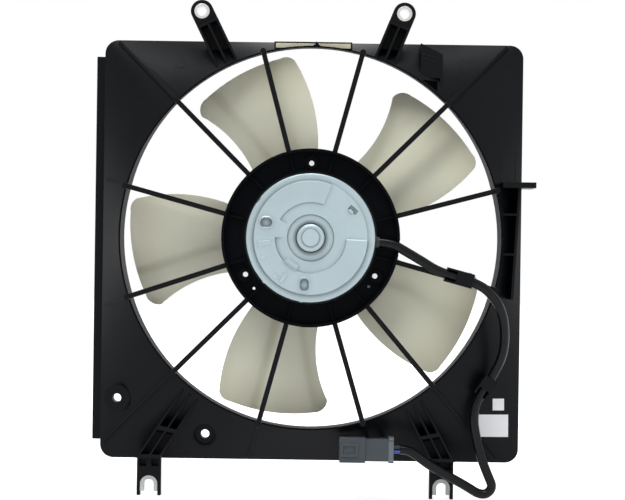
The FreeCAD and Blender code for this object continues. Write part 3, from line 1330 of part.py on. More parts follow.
def connector():
    """The two-way connector: hood with its lock, body, rear cap, seals and terminals."""
    deep, high = s.hood_deep / 2, s.hood_high / 2
    housing = connector_body("connector_housing")
    drawing = Drawing(housing, "hood_outline", "YZ_Plane").box(-deep, deep, -high, high)
    pad(housing, "hood", drawing, s.hood_long)
    small_deep, small_high = deep - s.plug_taper, high - s.plug_taper
    drawing = Drawing(housing, "plug_body_outline", "YZ_Plane", shift=s.hood_long)
    drawing.box(-small_deep, small_deep, -small_high, small_high)
    pad(housing, "plug_body", drawing, s.body_long)
    lock = Drawing(housing, "lock_outline", shift=deep)
    left, right, half, bar = s.lock_start, s.lock_start + s.lock_long, s.lock_half, s.lock_bar
    lock.loop((left, 1 - half), (left + 1, -half), (right - 1, -half), (right, 1 - half),
              (right, half - 1), (right - 1, half), (left + 1, half), (left, half - 1))
    lock.box(left + bar, right - bar, bar - half, half - bar)
    pad(housing, "lock", lock, s.plug_taper)
    inner_deep, inner_high = deep - s.hood_wall, high - s.hood_wall
    drawing = Drawing(housing, "socket_outline", "YZ_Plane")
    drawing.box(-inner_deep, inner_deep, -inner_high, inner_high)
    pocket(housing, "socket", drawing, s.socket_deep, backward=True)
    cap = connector_body("connector_rear_cap")
    back = s.hood_long + s.body_long
    drawing = Drawing(cap, "cap_outline", "YZ_Plane", shift=back)
    ear = high - s.cap_ear
    waist = ear - 1
    drawing.loop((-deep, -high), (deep, -high), (deep, -ear), (small_deep, -waist),
                 (small_deep, waist), (deep, ear), (deep, high), (-deep, high), (-deep, ear),
                 (-small_deep, waist), (-small_deep, -waist), (-deep, -ear))
    seal_outer = s.wire_radius + s.seal_wall + s.press_gap
    for side in (1, -1):
        drawing.circle(0, s.wire_gap / 2 * side, seal_outer)
    pad(cap, "cap", drawing, s.cap_long)
    seals = connector_body("connector_wire_seals")
    for side, name in ((1, "upper"), (-1, "lower")):
        drawing = Drawing(seals, name + "_seal_outline", "YZ_Plane", shift=back)
        middle = s.wire_gap / 2 * side
        drawing.circle(0, middle, seal_outer - s.press_gap)
        drawing.circle(0, middle, s.wire_radius + s.press_gap)
        pad(seals, name + "_seal", drawing, s.cap_long)
    terminals = connector_body("connector_terminals")
    for side, name in ((1, "upper"), (-1, "lower")):
        drawing = Drawing(terminals, name + "_terminal_outline", "YZ_Plane", shift=s.hood_wall * 3)
        middle = s.terminal_gap / 2 * side
        drawing.box(-s.terminal_half, s.terminal_half, middle - s.terminal_thick / 2,
                    middle + s.terminal_thick / 2)
        pad(terminals, name + "_terminal", drawing, s.socket_deep - s.hood_wall * 3)
    return housing, cap, seals, terminals


# Output


def check(pieces):
    """Stop if any object failed, or any piece has no sound shape."""
    for thing in doc.Objects:
        if "Invalid" in thing.State or "Error" in thing.State:
            raise RuntimeError(f"{thing.Name} did not recompute: {thing.State}")
    for piece in pieces:
        if piece.Shape.isNull() or not piece.Shape.isValid() or not piece.Shape.Solids:
            raise RuntimeError(f"{piece.Label} has no sound solid")


pieces = [
    shroud(),
    leg("left_leg", -s.fork_left_x, s.leg_left_turn),
    leg("right_leg", s.fork_right_x, s.leg_right_turn),
    *boss_tubes(),
    fan_ring(),
    spokes(),
    motor_holder(),
    upper_collar("upper_collar_left", -1),
    upper_collar("upper_collar_right", 1),
    fork_insert("fork_insert_left", -s.fork_left_x),
    fork_insert("fork_insert_right", s.fork_right_x),
    seal_strip(),
    fan_wheel(),
    *hub_fastening(),
    *motor_shell(),
    *shaft_and_bearings(),
    *field_and_armature(),
    *brush_gear(),
    *leads(),
    *connector(),
]
doc.recompute()
check(pieces)
os.makedirs("parts", exist_ok=True)
for piece in pieces:
    piece.Shape.exportStep(f"parts/{piece.Label}.step")
    print(f"{piece.Label}: {len(piece.Shape.Solids)} solid(s), {piece.Shape.Volume / 1000:.2f} cm3")
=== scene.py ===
"""Looks of a radiator cooling fan: moulded shroud, cambered wheel, silver motor and plug lead."""
import math

import bmesh
import bpy
from mathutils import Matrix, Vector
from mathutils.bvhtree import BVHTree


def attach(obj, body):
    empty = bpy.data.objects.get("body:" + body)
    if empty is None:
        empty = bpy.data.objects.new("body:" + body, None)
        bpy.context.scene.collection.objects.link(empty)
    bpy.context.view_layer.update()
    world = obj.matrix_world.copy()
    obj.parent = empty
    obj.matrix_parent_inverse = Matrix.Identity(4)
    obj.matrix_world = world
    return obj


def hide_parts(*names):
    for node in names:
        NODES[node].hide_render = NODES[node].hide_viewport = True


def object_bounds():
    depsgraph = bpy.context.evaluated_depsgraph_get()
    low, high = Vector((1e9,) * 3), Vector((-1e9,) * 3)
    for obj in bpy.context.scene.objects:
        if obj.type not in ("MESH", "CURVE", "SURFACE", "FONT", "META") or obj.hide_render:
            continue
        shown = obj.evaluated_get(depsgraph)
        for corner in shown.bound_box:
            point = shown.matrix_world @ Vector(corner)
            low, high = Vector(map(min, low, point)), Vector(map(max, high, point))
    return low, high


bl_info = {
    "name": "Radiator cooling fan",
    "version": (1, 0, 0),
    "blender": (4, 5, 0),
    "location": "View3D > Sidebar > Fan",
    "description": "Finishes the moulded shroud, fan wheel, motor and plug lead of a radiator fan",
    "category": "Object",
}

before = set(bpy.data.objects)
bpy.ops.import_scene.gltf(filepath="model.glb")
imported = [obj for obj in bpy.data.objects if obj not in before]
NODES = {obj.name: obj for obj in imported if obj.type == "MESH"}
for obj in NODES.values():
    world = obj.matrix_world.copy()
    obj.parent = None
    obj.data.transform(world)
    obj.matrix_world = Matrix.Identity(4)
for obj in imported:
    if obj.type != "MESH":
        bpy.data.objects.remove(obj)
CAD_BOX = [list(corner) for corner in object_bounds()]

STILL = "shroud_and_motor"
SHROUD_NODES = ("shroud", "left_leg", "right_leg", "side_boss_tube", "low_boss_tube", "fan_ring",
                "spokes", "motor_holder")
# The parts of the shroud that lie in its deep shade, or on its ring's inner edge: they get a less
# shiny copy of its plastic, as painted shade
SHADE_COPY_NODES = ("motor_holder", "fan_ring")
MM = 0.001
# The fan's axis in the row frame, in metres
AXIS_X, AXIS_Z = 0.010, -0.216


# Properties


class FanColours(bpy.types.PropertyGroup):
    """Colours of the fan's finishes."""

    shroud: bpy.props.FloatVectorProperty(
        name="Shroud", description="Moulded black plastic of the shroud", subtype="COLOR",
        size=3, min=0, max=1, default=(0.0032, 0.0037, 0.0050))
    blade: bpy.props.FloatVectorProperty(
        name="Wheel", description="Uncoloured plastic of the fan wheel", subtype="COLOR",
        size=3, min=0, max=1, default=(0.69, 0.68, 0.54))
    motor: bpy.props.FloatVectorProperty(
        name="Motor", description="Silver coat of the motor's shell", subtype="COLOR",
        size=3, min=0, max=1, default=(0.52, 0.64, 0.68))
    steel: bpy.props.FloatVectorProperty(
        name="Steel", description="Plated steel of collars, screws and shaft", subtype="COLOR",
        size=3, min=0, max=1, default=(0.62, 0.62, 0.60))
    copper: bpy.props.FloatVectorProperty(
        name="Copper", description="Enamelled windings and commutator", subtype="COLOR",
        size=3, min=0, max=1, default=(0.62, 0.26, 0.12))
    vinyl: bpy.props.FloatVectorProperty(
        name="Sleeve", description="Black vinyl of the leads' sleeve", subtype="COLOR",
        size=3, min=0, max=1, default=(0.0045, 0.0050, 0.0060))
    blue: bpy.props.FloatVectorProperty(
        name="Blue lead", description="Insulation of the blue lead", subtype="COLOR",
        size=3, min=0, max=1, default=(0.03, 0.09, 0.48))
    connector: bpy.props.FloatVectorProperty(
        name="Connector", description="Grey plastic of the connector", subtype="COLOR",
        size=3, min=0, max=1, default=(0.060, 0.072, 0.082))
    liner: bpy.props.FloatVectorProperty(
        name="Liner", description="Pale liner of the lower forks", subtype="COLOR",
        size=3, min=0, max=1, default=(0.60, 0.62, 0.60))
    foam: bpy.props.FloatVectorProperty(
        name="Seal", description="Pale foam of the seal strip", subtype="COLOR",
        size=3, min=0, max=1, default=(0.62, 0.58, 0.43))
    paper: bpy.props.FloatVectorProperty(
        name="Label", description="Blank white labels", subtype="COLOR",
        size=3, min=0, max=1, default=(0.90, 0.91, 0.92))


class FanSizes(bpy.types.PropertyGroup):
    """Sizes that belong to the finish."""

    edge: bpy.props.FloatProperty(
        name="Edge radius", description="Radius that light catches on moulded edges",
        default=0.0007, min=0, unit="LENGTH")
    sleeve: bpy.props.FloatProperty(
        name="Sleeve", description="Diameter of the leads' vinyl sleeve",
        default=0.009, min=0.001, unit="LENGTH")
    sleeve_length: bpy.props.FloatProperty(
        name="Sleeve length", description="Real length of the sleeve",
        default=0.4214, min=0.1, unit="LENGTH")


class FanStage(bpy.types.PropertyGroup):
    """Camera, light and floor."""

    distance: bpy.props.FloatProperty(
        name="Camera depth", description="Camera in front of the bolt plane",
        default=1.632, min=0.5, unit="LENGTH")
    camera_x: bpy.props.FloatProperty(
        name="Camera across", description="Camera to the right of the bolts' middle",
        default=0.0119, unit="LENGTH")
    camera_z: bpy.props.FloatProperty(
        name="Camera height", description="Camera above the bolt holes",
        default=-0.2273, unit="LENGTH")
    lens: bpy.props.FloatProperty(
        name="Lens", description="Focal length in millimetres", default=97.5, min=20)
    roll: bpy.props.FloatProperty(
        name="Roll", description="Turn of the picture", default=math.radians(0.8),
        subtype="ANGLE")
    key: bpy.props.FloatProperty(
        name="Key light", description="Power of the large lamp", default=16.0, min=0,
        unit="POWER")


# Shader groups


def socket(group, name, way="INPUT", kind="NodeSocketFloat", value=None):
    made = group.interface.new_socket(name=name, in_out=way, socket_type=kind)
    if value is not None:
        made.default_value = value
    return made


def new_group(name):
    group = bpy.data.node_groups.new(name, "ShaderNodeTree")
    way_in = group.nodes.new("NodeGroupInput")
    way_out = group.nodes.new("NodeGroupOutput")
    return group, way_in, way_out


def math_node(tree, operation, first, second=None, clamp=False):
    """A Math node fed by sockets or numbers; returns its output."""
    node = tree.nodes.new("ShaderNodeMath")
    node.operation = operation
    node.use_clamp = clamp
    for number, source in enumerate((first, second)):
        if source is None:
            continue
        if isinstance(source, (int, float)):
            node.inputs[number].default_value = source
        else:
            tree.links.new(source, node.inputs[number])
    return node.outputs[0]


def noise(tree, vector, scale, detail=3.0, roughness=0.5):
    node = tree.nodes.new("ShaderNodeTexNoise")
    node.inputs["Detail"].default_value = detail
    node.inputs["Roughness"].default_value = roughness
    tree.links.new(vector, node.inputs["Vector"])
    if isinstance(scale, (int, float)):
        node.inputs["Scale"].default_value = scale
    else:
        tree.links.new(scale, node.inputs["Scale"])
    return node.outputs["Fac"]


def moulded_skin():
    """Grain of moulded plastic: a fine height, and slow flow marks as a mask."""
    group, way_in, way_out = new_group("Moulded skin")
    socket(group, "Vector", kind="NodeSocketVector")
    socket(group, "Grain Scale", value=1400.0)
    socket(group, "Flow Scale", value=9.0)
    socket(group, "Height", "OUTPUT")
    socket(group, "Flow", "OUTPUT")
    fine = noise(group, way_in.outputs["Vector"], way_in.outputs["Grain Scale"], 2.0)
    slow = noise(group, way_in.outputs["Vector"], way_in.outputs["Flow Scale"], 4.0, 0.6)
    soft = math_node(group, "MULTIPLY", slow, 0.6)
    group.links.new(math_node(group, "ADD", fine, soft), way_out.inputs["Height"])
    spread = group.nodes.new("ShaderNodeMapRange")
    spread.inputs["From Min"].default_value = 0.32
    spread.inputs["From Max"].default_value = 0.68
    group.links.new(slow, spread.inputs["Value"])
    group.links.new(spread.outputs["Result"], way_out.inputs["Flow"])
    return group


def handling_marks():
    """Faint rubs and hairline scratches, as a mask."""
    group, way_in, way_out = new_group("Handling marks")
    socket(group, "Vector", kind="NodeSocketVector")
    socket(group, "Scale", value=60.0)
    socket(group, "Amount", value=0.5)
    socket(group, "Mask", "OUTPUT")
    stretch = group.nodes.new("ShaderNodeMapping")
    stretch.inputs["Rotation"].default_value = (0.3, 0.5, 0.8)
    stretch.inputs["Scale"].default_value = (1.0, 1.0, 14.0)
    group.links.new(way_in.outputs["Vector"], stretch.inputs["Vector"])
    hair = noise(group, stretch.outputs["Vector"], way_in.outputs["Scale"], 5.0, 0.7)
    cloud = noise(group, way_in.outputs["Vector"], 14.0, 3.0)
    peaks = group.nodes.new("ShaderNodeMapRange")
    peaks.inputs["From Min"].default_value = 0.58
    peaks.inputs["From Max"].default_value = 0.72
    group.links.new(hair, peaks.inputs["Value"])
    both = math_node(group, "MULTIPLY", peaks.outputs["Result"], cloud)
    scaled = math_node(group, "MULTIPLY", both, way_in.outputs["Amount"], clamp=True)
    group.links.new(scaled, way_out.inputs["Mask"])
    return group


# Materials

# Samples for the rounded edges; samples and power of the painted shade in hollows
EDGE_SAMPLES, HOLLOW_SAMPLES, HOLLOW_SHADE = 4, 8, 3.0
# How far roughness wanders with the flow marks, and what the rubs add to it
PLASTIC_WANDER, PLASTIC_WORN = 0.05, 0.25
METAL_WANDER, METAL_WORN = 0.06, 0.2
PLASTIC_TOOTH, METAL_TOOTH = 0.0002, 0.0001


def blank_material(name):
    """A new material with its tree, its shader and the object's own coordinates."""
    material = bpy.data.materials.new(name)
    material.use_nodes = True
    tree = material.node_tree
    shader = tree.nodes["Principled BSDF"]
    place = tree.nodes.new("ShaderNodeTexCoord").outputs["Object"]
    return material, tree, shader, place


def use_group(tree, group, **values):
    """Place a node group; each input gets a number or a link."""
    node = tree.nodes.new("ShaderNodeGroup")
    node.node_tree = group
    for name, value in values.items():
        name = name.replace("_", " ").title()
        if isinstance(value, bpy.types.NodeSocket):
            tree.links.new(value, node.inputs[name])
        else:
            node.inputs[name].default_value = value
    return node


def between_colours(tree, mask, low, high):
    """A colour that goes from one to another with a mask."""
    mix = tree.nodes.new("ShaderNodeMix")
    mix.data_type = "RGBA"
    tree.links.new(mask, mix.inputs["Factor"])
    mix.inputs["A"].default_value = (*low, 1.0)
    mix.inputs["B"].default_value = (*high, 1.0)
    return mix.outputs["Result"]


def map_range(tree, value, low, high):
    node = tree.nodes.new("ShaderNodeMapRange")
    node.inputs["To Min"].default_value = low
    node.inputs["To Max"].default_value = high
    tree.links.new(value, node.inputs["Value"])
    return node.outputs["Result"]


def relief(tree, shader, height, strength, distance, edge=0.0):
    """Bump on the shader's normal, over edges rounded by the given radius."""
    bump = tree.nodes.new("ShaderNodeBump")
    bump.inputs["Strength"].default_value = strength
    bump.inputs["Distance"].default_value = distance
    tree.links.new(height, bump.inputs["Height"])
    if edge:
        rounded = tree.nodes.new("ShaderNodeBevel")
        rounded.samples = EDGE_SAMPLES
        rounded.inputs["Radius"].default_value = edge
        tree.links.new(rounded.outputs["Normal"], bump.inputs["Normal"])
    tree.links.new(bump.outputs["Normal"], shader.inputs["Normal"])


def multiply_node(tree, colour):
    """A Mix node that multiplies a colour by what is put in its second socket."""
    mix = tree.nodes.new("ShaderNodeMix")
    mix.data_type = "RGBA"
    mix.blend_type = "MULTIPLY"
    tree.links.new(colour, mix.inputs["A"])
    return mix


def paint_hollow_shade(tree, colour, reach):
    """A colour with painted shade where the surface is closed in within a reach."""
    near = tree.nodes.new("ShaderNodeAmbientOcclusion")
    near.inputs["Distance"].default_value = reach
    near.samples = HOLLOW_SAMPLES
    open_share = math_node(tree, "POWER", near.outputs["AO"], HOLLOW_SHADE)
    mix = multiply_node(tree, colour)
    mix.inputs["Factor"].default_value = 1.0
    tree.links.new(open_share, mix.inputs["B"])
    return mix.outputs["Result"]


def shows_backdrop(tree):
    """1 for the rays by which the backdrop is seen: straight, mirrored or through glass."""
    path = tree.nodes.new("ShaderNodeLightPath")
    straight = math_node(tree, "MAXIMUM", path.outputs["Is Camera Ray"],
                         path.outputs["Is Glossy Ray"])
    return math_node(tree, "MAXIMUM", straight, path.outputs["Is Transmission Ray"])


def shaded(colour, factor):
    """A colour made darker or lighter, at most white."""
    return tuple(min(1.0, channel * factor) for channel in colour)


def plastic(name, colour, rough=0.42, grain=1400.0, bump=0.12, edge=0.0006, vary=0.12,
            specular=0.5, subsurface=0.0):
    """Moulded plastic with grain, flow marks and faint rubs."""
    material, tree, shader, place = blank_material(name)
    skin = use_group(tree, bpy.data.node_groups["Moulded skin"], vector=place, grain_scale=grain)
    marks = use_group(tree, bpy.data.node_groups["Handling marks"], vector=place)
    tint = between_colours(tree, skin.outputs["Flow"], shaded(colour, 1 - vary),
                           shaded(colour, 1 + vary))
    tree.links.new(tint, shader.inputs["Base Color"])
    base = map_range(tree, skin.outputs["Flow"], rough - PLASTIC_WANDER, rough + PLASTIC_WANDER)
    worn = math_node(tree, "MULTIPLY", marks.outputs["Mask"], PLASTIC_WORN)
    tree.links.new(math_node(tree, "ADD", base, worn, True), shader.inputs["Roughness"])
    shader.inputs["Specular IOR Level"].default_value = specular
    if subsurface:
        shader.inputs["Subsurface Weight"].default_value = subsurface
        shader.inputs["Subsurface Radius"].default_value = (0.004, 0.0035, 0.002)
        shader.inputs["Subsurface Scale"].default_value = 1.0
    relief(tree, shader, skin.outputs["Height"], bump, PLASTIC_TOOTH, edge)
    return material


def metal(name, colour, rough=0.35, metallic=1.0, grain=900.0, bump=0.08, edge=0.0004, vary=0.08,
          shade_reach=0.0):
    """Plated, coated or machined metal with a fine tooth and faint rubs, and painted shade in its
    hollows where a reach for it is given."""
    material, tree, shader, place = blank_material(name)
    skin = use_group(tree, bpy.data.node_groups["Moulded skin"], vector=place, grain_scale=grain,
                     flow_scale=22.0)
    marks = use_group(tree, bpy.data.node_groups["Handling marks"], vector=place, scale=90.0,
                      amount=0.9)
    tint = between_colours(tree, skin.outputs["Flow"], shaded(colour, 1 - vary),
                           shaded(colour, 1 + vary))
    if shade_reach:
        tint = paint_hollow_shade(tree, tint, shade_reach)
    tree.links.new(tint, shader.inputs["Base Color"])
    base = map_range(tree, skin.outputs["Flow"], rough - METAL_WANDER, rough + METAL_WANDER)
    worn = math_node(tree, "MULTIPLY", marks.outputs["Mask"], METAL_WORN)
    tree.links.new(math_node(tree, "ADD", base, worn, True), shader.inputs["Roughness"])
    shader.inputs["Metallic"].default_value = metallic
    relief(tree, shader, skin.outputs["Height"], bump, METAL_TOOTH, edge)
    return material


def paint_tip_shade(material, inner, outer):
    """Darken the colour between two radii about the fan's axis: painted shade towards the blade
    tips.
    """
    tree = material.node_tree
    shader = tree.nodes["Principled BSDF"]
    tint = shader.inputs["Base Color"].links[0].from_socket
    place = tree.nodes.new("ShaderNodeTexCoord").outputs["Object"]
    centred = tree.nodes.new("ShaderNodeMapping")
    centred.inputs["Location"].default_value = (-AXIS_X, 0.0, -AXIS_Z)
    centred.inputs["Scale"].default_value = (1.0, 0.0, 1.0)
    tree.links.new(place, centred.inputs["Vector"])
    radius = tree.nodes.new("ShaderNodeVectorMath")
    radius.operation = "LENGTH"
    tree.links.new(centred.outputs["Vector"], radius.inputs[0])
    fall = tree.nodes.new("ShaderNodeMapRange")
    fall.interpolation_type = "SMOOTHSTEP"
    fall.inputs["From Min"].default_value = inner
    fall.inputs["From Max"].default_value = outer
    tree.links.new(radius.outputs["Value"], fall.inputs["Value"])
    mix = multiply_node(tree, tint)
    mix.inputs["B"].default_value = (*PAINTED_TIP_SHADE, 1.0)
    tree.links.new(fall.outputs["Result"], mix.inputs["Factor"])
    tree.links.new(mix.outputs["Result"], shader.inputs["Base Color"])


def dress(name, material):
    """Give a CAD node one material."""
    piece = NODES[name]
    piece.data.materials.clear()
    piece.data.materials.append(material)


def new_piece(name, form, material, body, smooth=True):
    """A finished piece from a bmesh, riding on a CAD body."""
    mesh = bpy.data.meshes.new(name)
    bmesh.ops.recalc_face_normals(form, faces=form.faces)
    form.to_mesh(mesh)
    form.free()
    mesh.shade_smooth() if smooth else mesh.shade_flat()
    piece = bpy.data.objects.new(name, mesh)
    bpy.context.scene.collection.objects.link(piece)
    mesh.materials.append(material)
    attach(piece, body)
    return piece


# Operators


class FAN_OT_shader_groups(bpy.types.Operator):
    """Build the shader groups that the finishes share"""

    bl_idname = "fan.shader_groups"
    bl_label = "Shader groups"

    def execute(self, context):
        moulded_skin()
        handling_marks()
        return {"FINISHED"}


class FAN_OT_finish_shroud(bpy.types.Operator):
    """Give the shroud and its fittings their plastics and steel"""

    bl_idname = "fan.finish_shroud"
    bl_label = "Shroud finish"

    def execute(self, context):
        colours, sizes = context.scene.fan_colours, context.scene.fan_sizes
        black = plastic("shroud plastic", colours.shroud, 0.42, edge=sizes.edge, specular=0.10)
        for name in SHROUD_NODES:
            dress(name, black)
        # A less shiny copy of the shroud's plastic, as painted shade on its parts in deep shade and
        # on the ring's inner edge
        shade_copy = plastic("shroud plastic with painted shade", colours.shroud, 0.5, edge=sizes.edge, specular=0.03)
        for name in SHADE_COPY_NODES:
            dress(name, shade_copy)
        collar = metal("plated collar", colours.steel, 0.32)
        dress("upper_collar_left", collar)
        dress("upper_collar_right", collar)
        liner = plastic("pale liner", colours.liner, 0.45, edge=0.0005)
        dress("fork_insert_left", liner)
        dress("fork_insert_right", liner)
        dress("seal_strip", plastic("foam strip", colours.foam, 0.85, grain=900.0, bump=0.4))
        return {"FINISHED"}


# Radii between which painted shade darkens the blades towards their tips, and the colour of that
# painted shade
TIP_SHADE_FROM, TIP_SHADE_TO = 0.132, 0.172
PAINTED_TIP_SHADE = (0.80, 0.79, 0.75)


class FAN_OT_finish_wheel(bpy.types.Operator):
    """Give the wheel its pale plastic, and its fastening its steel"""

    bl_idname = "fan.finish_wheel"
    bl_label = "Wheel finish"

    def execute(self, context):
        colours = context.scene.fan_colours
        pale = plastic("blade plastic", colours.blade, rough=0.2, grain=1100.0, bump=0.03,
                       vary=0.03, subsurface=0.06)
        # Painted shade darkens the blades towards their tips
        paint_tip_shade(pale, TIP_SHADE_FROM, TIP_SHADE_TO)
        dress("fan_wheel", pale)
        steel = metal("bright steel", colours.steel, 0.28)
        for name in ("fan_hub_insert", "fan_washer", "fan_nut"):
            dress(name, steel)
        return {"FINISHED"}


class FAN_OT_finish_motor(bpy.types.Operator):
    """Give the motor's shell and inner parts their metals"""

    bl_idname = "fan.finish_motor"
    bl_label = "Motor finish"

    def execute(self, context):
        colours = context.scene.fan_colours
        # The coat gets painted shade in its hollows, within 5 mm
        coat = metal("silver coat", shaded(colours.motor, 0.82), rough=0.38, metallic=0.35,
                     grain=700.0, bump=0.06, vary=0.04, shade_reach=0.005)
        for name in ("motor_can", "motor_rear_cover"):
            dress(name, coat)
        dress("motor_flange", metal("dark flange", (0.03, 0.032, 0.035), 0.5, 0.6))
        screw = metal("screw steel", shaded(colours.steel, 1.2), 0.35, 0.6)
        dress("motor_screws", screw)
        ground = metal("ground steel", shaded(colours.steel, 1.1), 0.2)
        for name in ("motor_shaft", "bearing_inner_ring", "bearing_outer_ring", "bearing_balls",
                     "thrust_washer"):
            dress(name, ground)
        dress("rear_bush", metal("sintered bronze", (0.42, 0.27, 0.12), 0.5))
        dress("field_magnets", metal("ferrite", (0.05, 0.05, 0.055), 0.55, 0.3))
        dress("armature_core", metal("laminations", (0.32, 0.32, 0.34), 0.45))
        dress("armature_windings", metal("enamelled windings", colours.copper, 0.3, 0.9))
        dress("commutator", metal("commutator copper", shaded(colours.copper, 1.2), 0.25))
        dress("suppression_chokes", metal("choke wire", colours.copper, 0.3, 0.9))
        dress("brush_plate", plastic("brush board", (0.20, 0.10, 0.045), 0.6))
        dress("brush_holders", metal("brass sheet", (0.60, 0.44, 0.18), 0.3))
        carbon = plastic("carbon", (0.02, 0.02, 0.022), 0.5)
        spring = metal("spring steel", (0.45, 0.45, 0.44), 0.3)
        for number in range(1, 5):
            dress(f"brush_{number}", carbon)
            dress(f"brush_spring_{number}", spring)
        return {"FINISHED"}


# The rear cover's relief in millimetres, angles counted from the right towards the top, heights
# towards the engine. The cover's field lies at COVER_BACK.
COVER_BACK, COVER_FOOT, COVER_RADIUS = 56.0, 52.0, 60.3
BOSS_RADIUS, BOSS_HIGH, BUTTON_RADIUS, BUTTON_HIGH = 13.4, 7.0, 8.0, 1.1
BOSS_ROUND, BOSS_SLOPE, RIM_ROUND = 3.4, 0.4, 1.5
DISC_RADIUS, DISC_DEEP = 21.7, 1.0
FIELD_INNER, FIELD_OUTER, INNER_DEEP, RIM_DEEP = 33.1, 53.4, 0.9, 1.8
# Sectors of the field that lie higher or lower: first and last angle, height
COVER_SECTORS = ((-2, 69, -0.8), (180, 220, 0.35))
# Pads pressed out of the field: first and last angle, inner and outer radius, height
COVER_PADS = ((184.3, 190.2, 37.5, 49.5, 0.5), (202.6, 205.4, 46.0, 50.0, 0.6),
              (225.5, 230.5, 46.5, 50.5, 0.5), (234.5, 238.5, 39.5, 50.0, 0.7),
              (222.0, 248.0, 27.5, 34.0, 0.8))
# Cups with round ends: angle, radius, width, height
COVER_CUPS = ((161.8, 43.8, 10.6, 8.4), (263.1, 44.1, 8.0, 11.2))
CUP_DEEP, CUP_LIP, CUP_LIP_WIDE = 1.5, 0.9, 1.4
# The lanced tab: angle, radius, turn of its long side, half length, half width, depth
TAB_TURN, TAB_OUT, TAB_SLANT, TAB_HALF, TAB_WIDE, TAB_DEEP = 34.0, 47.4, -40.0, 4.3, 2.0, 1.1
# Its tongue: shares of the slot's half sizes, shift along and across it, height, what it fills
TONGUE_LONG, TONGUE_WIDE, TONGUE_ALONG, TONGUE_ACROSS = 0.6, 0.8, 0.6, 2.2
TONGUE_HIGH, TONGUE_FILL = 1.1, 0.9
# Where the low middle field is open to the outer one: first and last angle, past the disc's edge
OPEN_FIRST, OPEN_LAST, OPEN_PAST = 150, 180, 5
# Widths of the softer and sharper steps between heights
CUP_STEP, LIP_STEP, TAB_STEP, OPEN_STEP, RIM_STEP, BOSS_STEP = 0.7, 1.4, 0.6, 6, 1.1, 0.5
# Crimps of the rim: angle, half angle and how far they stand out
COVER_CRIMPS = ((145, 2.6, -0.9), (224, 1.5, 0.7), (262, 1.5, 0.6))
CRIMP_PAST, CRIMP_STEP = 4, 5
# Radii of the relief's circles: end of each band and how many steps cross it
COVER_BANDS = ((7.4, 5), (8.5, 6), (11.0, 5), (13.7, 14), (20.9, 9), (22.4, 8), (31.8, 16),
               (34.4, 11), (52.4, 40), (54.3, 10), (58.2, 8), (COVER_RADIUS, 12))
COVER_SPOKES = 540


def rise(distance, wide=0.8):
    """0 below the line, 1 above it, with a soft step between."""
    share = min(1.0, max(0.0, distance / wide + 0.5))
    return share * share * (3 - 2 * share)


def sector_mask(radius, angle, first, last):
    """1 between two angles, with steps of a fixed width in millimetres."""
    middle, half = (first + last) / 2, (last - first) / 2
    off = (angle - middle + 180) % 360 - 180
    return rise(math.radians(half - abs(off)) * radius)


def obround(x, z, wide, high):
    """Distance outside a flat-sided round-ended outline about the origin."""
    bend = min(wide, high) / 2
    dx, dz = max(abs(x) - wide / 2 + bend, 0.0), max(abs(z) - high / 2 + bend, 0.0)
    return math.hypot(dx, dz) - bend


def cup_height(x, z):
    """Cups with their lips, and the slot of the lanced tab with its raised tongue."""
    height = 0.0
    for angle, out, wide, high in COVER_CUPS:
        turn = math.radians(angle)
        away = obround(x - out * math.cos(turn), z - out * math.sin(turn), wide, high)
        height -= CUP_DEEP * rise(-away, CUP_STEP)
        height += CUP_LIP * rise(away) * rise(CUP_LIP_WIDE - away, LIP_STEP)
    turn, slant = math.radians(TAB_TURN), math.radians(TAB_SLANT)
    dx, dz = x - TAB_OUT * math.cos(turn), z - TAB_OUT * math.sin(turn)
    along = dx * math.cos(slant) + dz * math.sin(slant)
    across = dz * math.cos(slant) - dx * math.sin(slant)
    slot = rise(TAB_HALF - abs(along), TAB_STEP) * rise(TAB_WIDE - abs(across), TAB_STEP)
    tongue = (rise(TAB_HALF * TONGUE_LONG - abs(along + TONGUE_ALONG))
              * rise(TAB_WIDE * TONGUE_WIDE - abs(across + TONGUE_ACROSS)))
    return height - TAB_DEEP * slot * (1 - TONGUE_FILL * tongue) + TONGUE_HIGH * tongue


def cover_height(radius, angle):
    """Height of the cover over its field, in millimetres."""
    turn = math.radians(angle)
    x, z = radius * math.cos(turn), radius * math.sin(turn)
    field = rise(radius - FIELD_INNER) * rise(FIELD_OUTER - radius)
    height = sum(high * sector_mask(radius, angle, first, last) * field
                 for first, last, high in COVER_SECTORS)
    open_arc = (sector_mask(radius, angle, OPEN_FIRST, OPEN_LAST)
                * rise(radius - DISC_RADIUS - OPEN_PAST, OPEN_STEP))
    height -= INNER_DEEP * rise(FIELD_INNER - radius) * (1 - open_arc)
    for first, last, near, far, high in COVER_PADS:
        height += (high * sector_mask(radius, angle, first, last) * rise(radius - near)
                   * rise(far - radius))
    height -= DISC_DEEP * rise(DISC_RADIUS - radius)
    height -= RIM_DEEP * rise(radius - FIELD_OUTER, RIM_STEP)
    height += ((BOSS_HIGH + INNER_DEEP + DISC_DEEP)
               * rise(BOSS_RADIUS - BOSS_SLOPE - radius, BOSS_STEP))
    shoulder = max(0.0, min(BOSS_ROUND, radius - BOSS_RADIUS + BOSS_SLOPE / 2 + BOSS_ROUND))
    if radius < BOSS_RADIUS:
        height -= BOSS_ROUND - math.sqrt(BOSS_ROUND ** 2 - shoulder ** 2)
    height += BUTTON_HIGH * rise(BUTTON_RADIUS - radius, BOSS_STEP)
    fall = max(0.0, radius - (COVER_RADIUS - RIM_ROUND))
    height -= RIM_ROUND - math.sqrt(max(0.0, RIM_ROUND ** 2 - fall ** 2))
    return height + cup_height(x, z)


def rim_reach(angle):
    """How far the cover's edge stands out or in at its crimps."""
    reach = 0.0
    for middle, half, out in COVER_CRIMPS:
        off = abs((angle - middle + 180) % 360 - 180)
        reach += out * rise(half - off, half)
    return reach


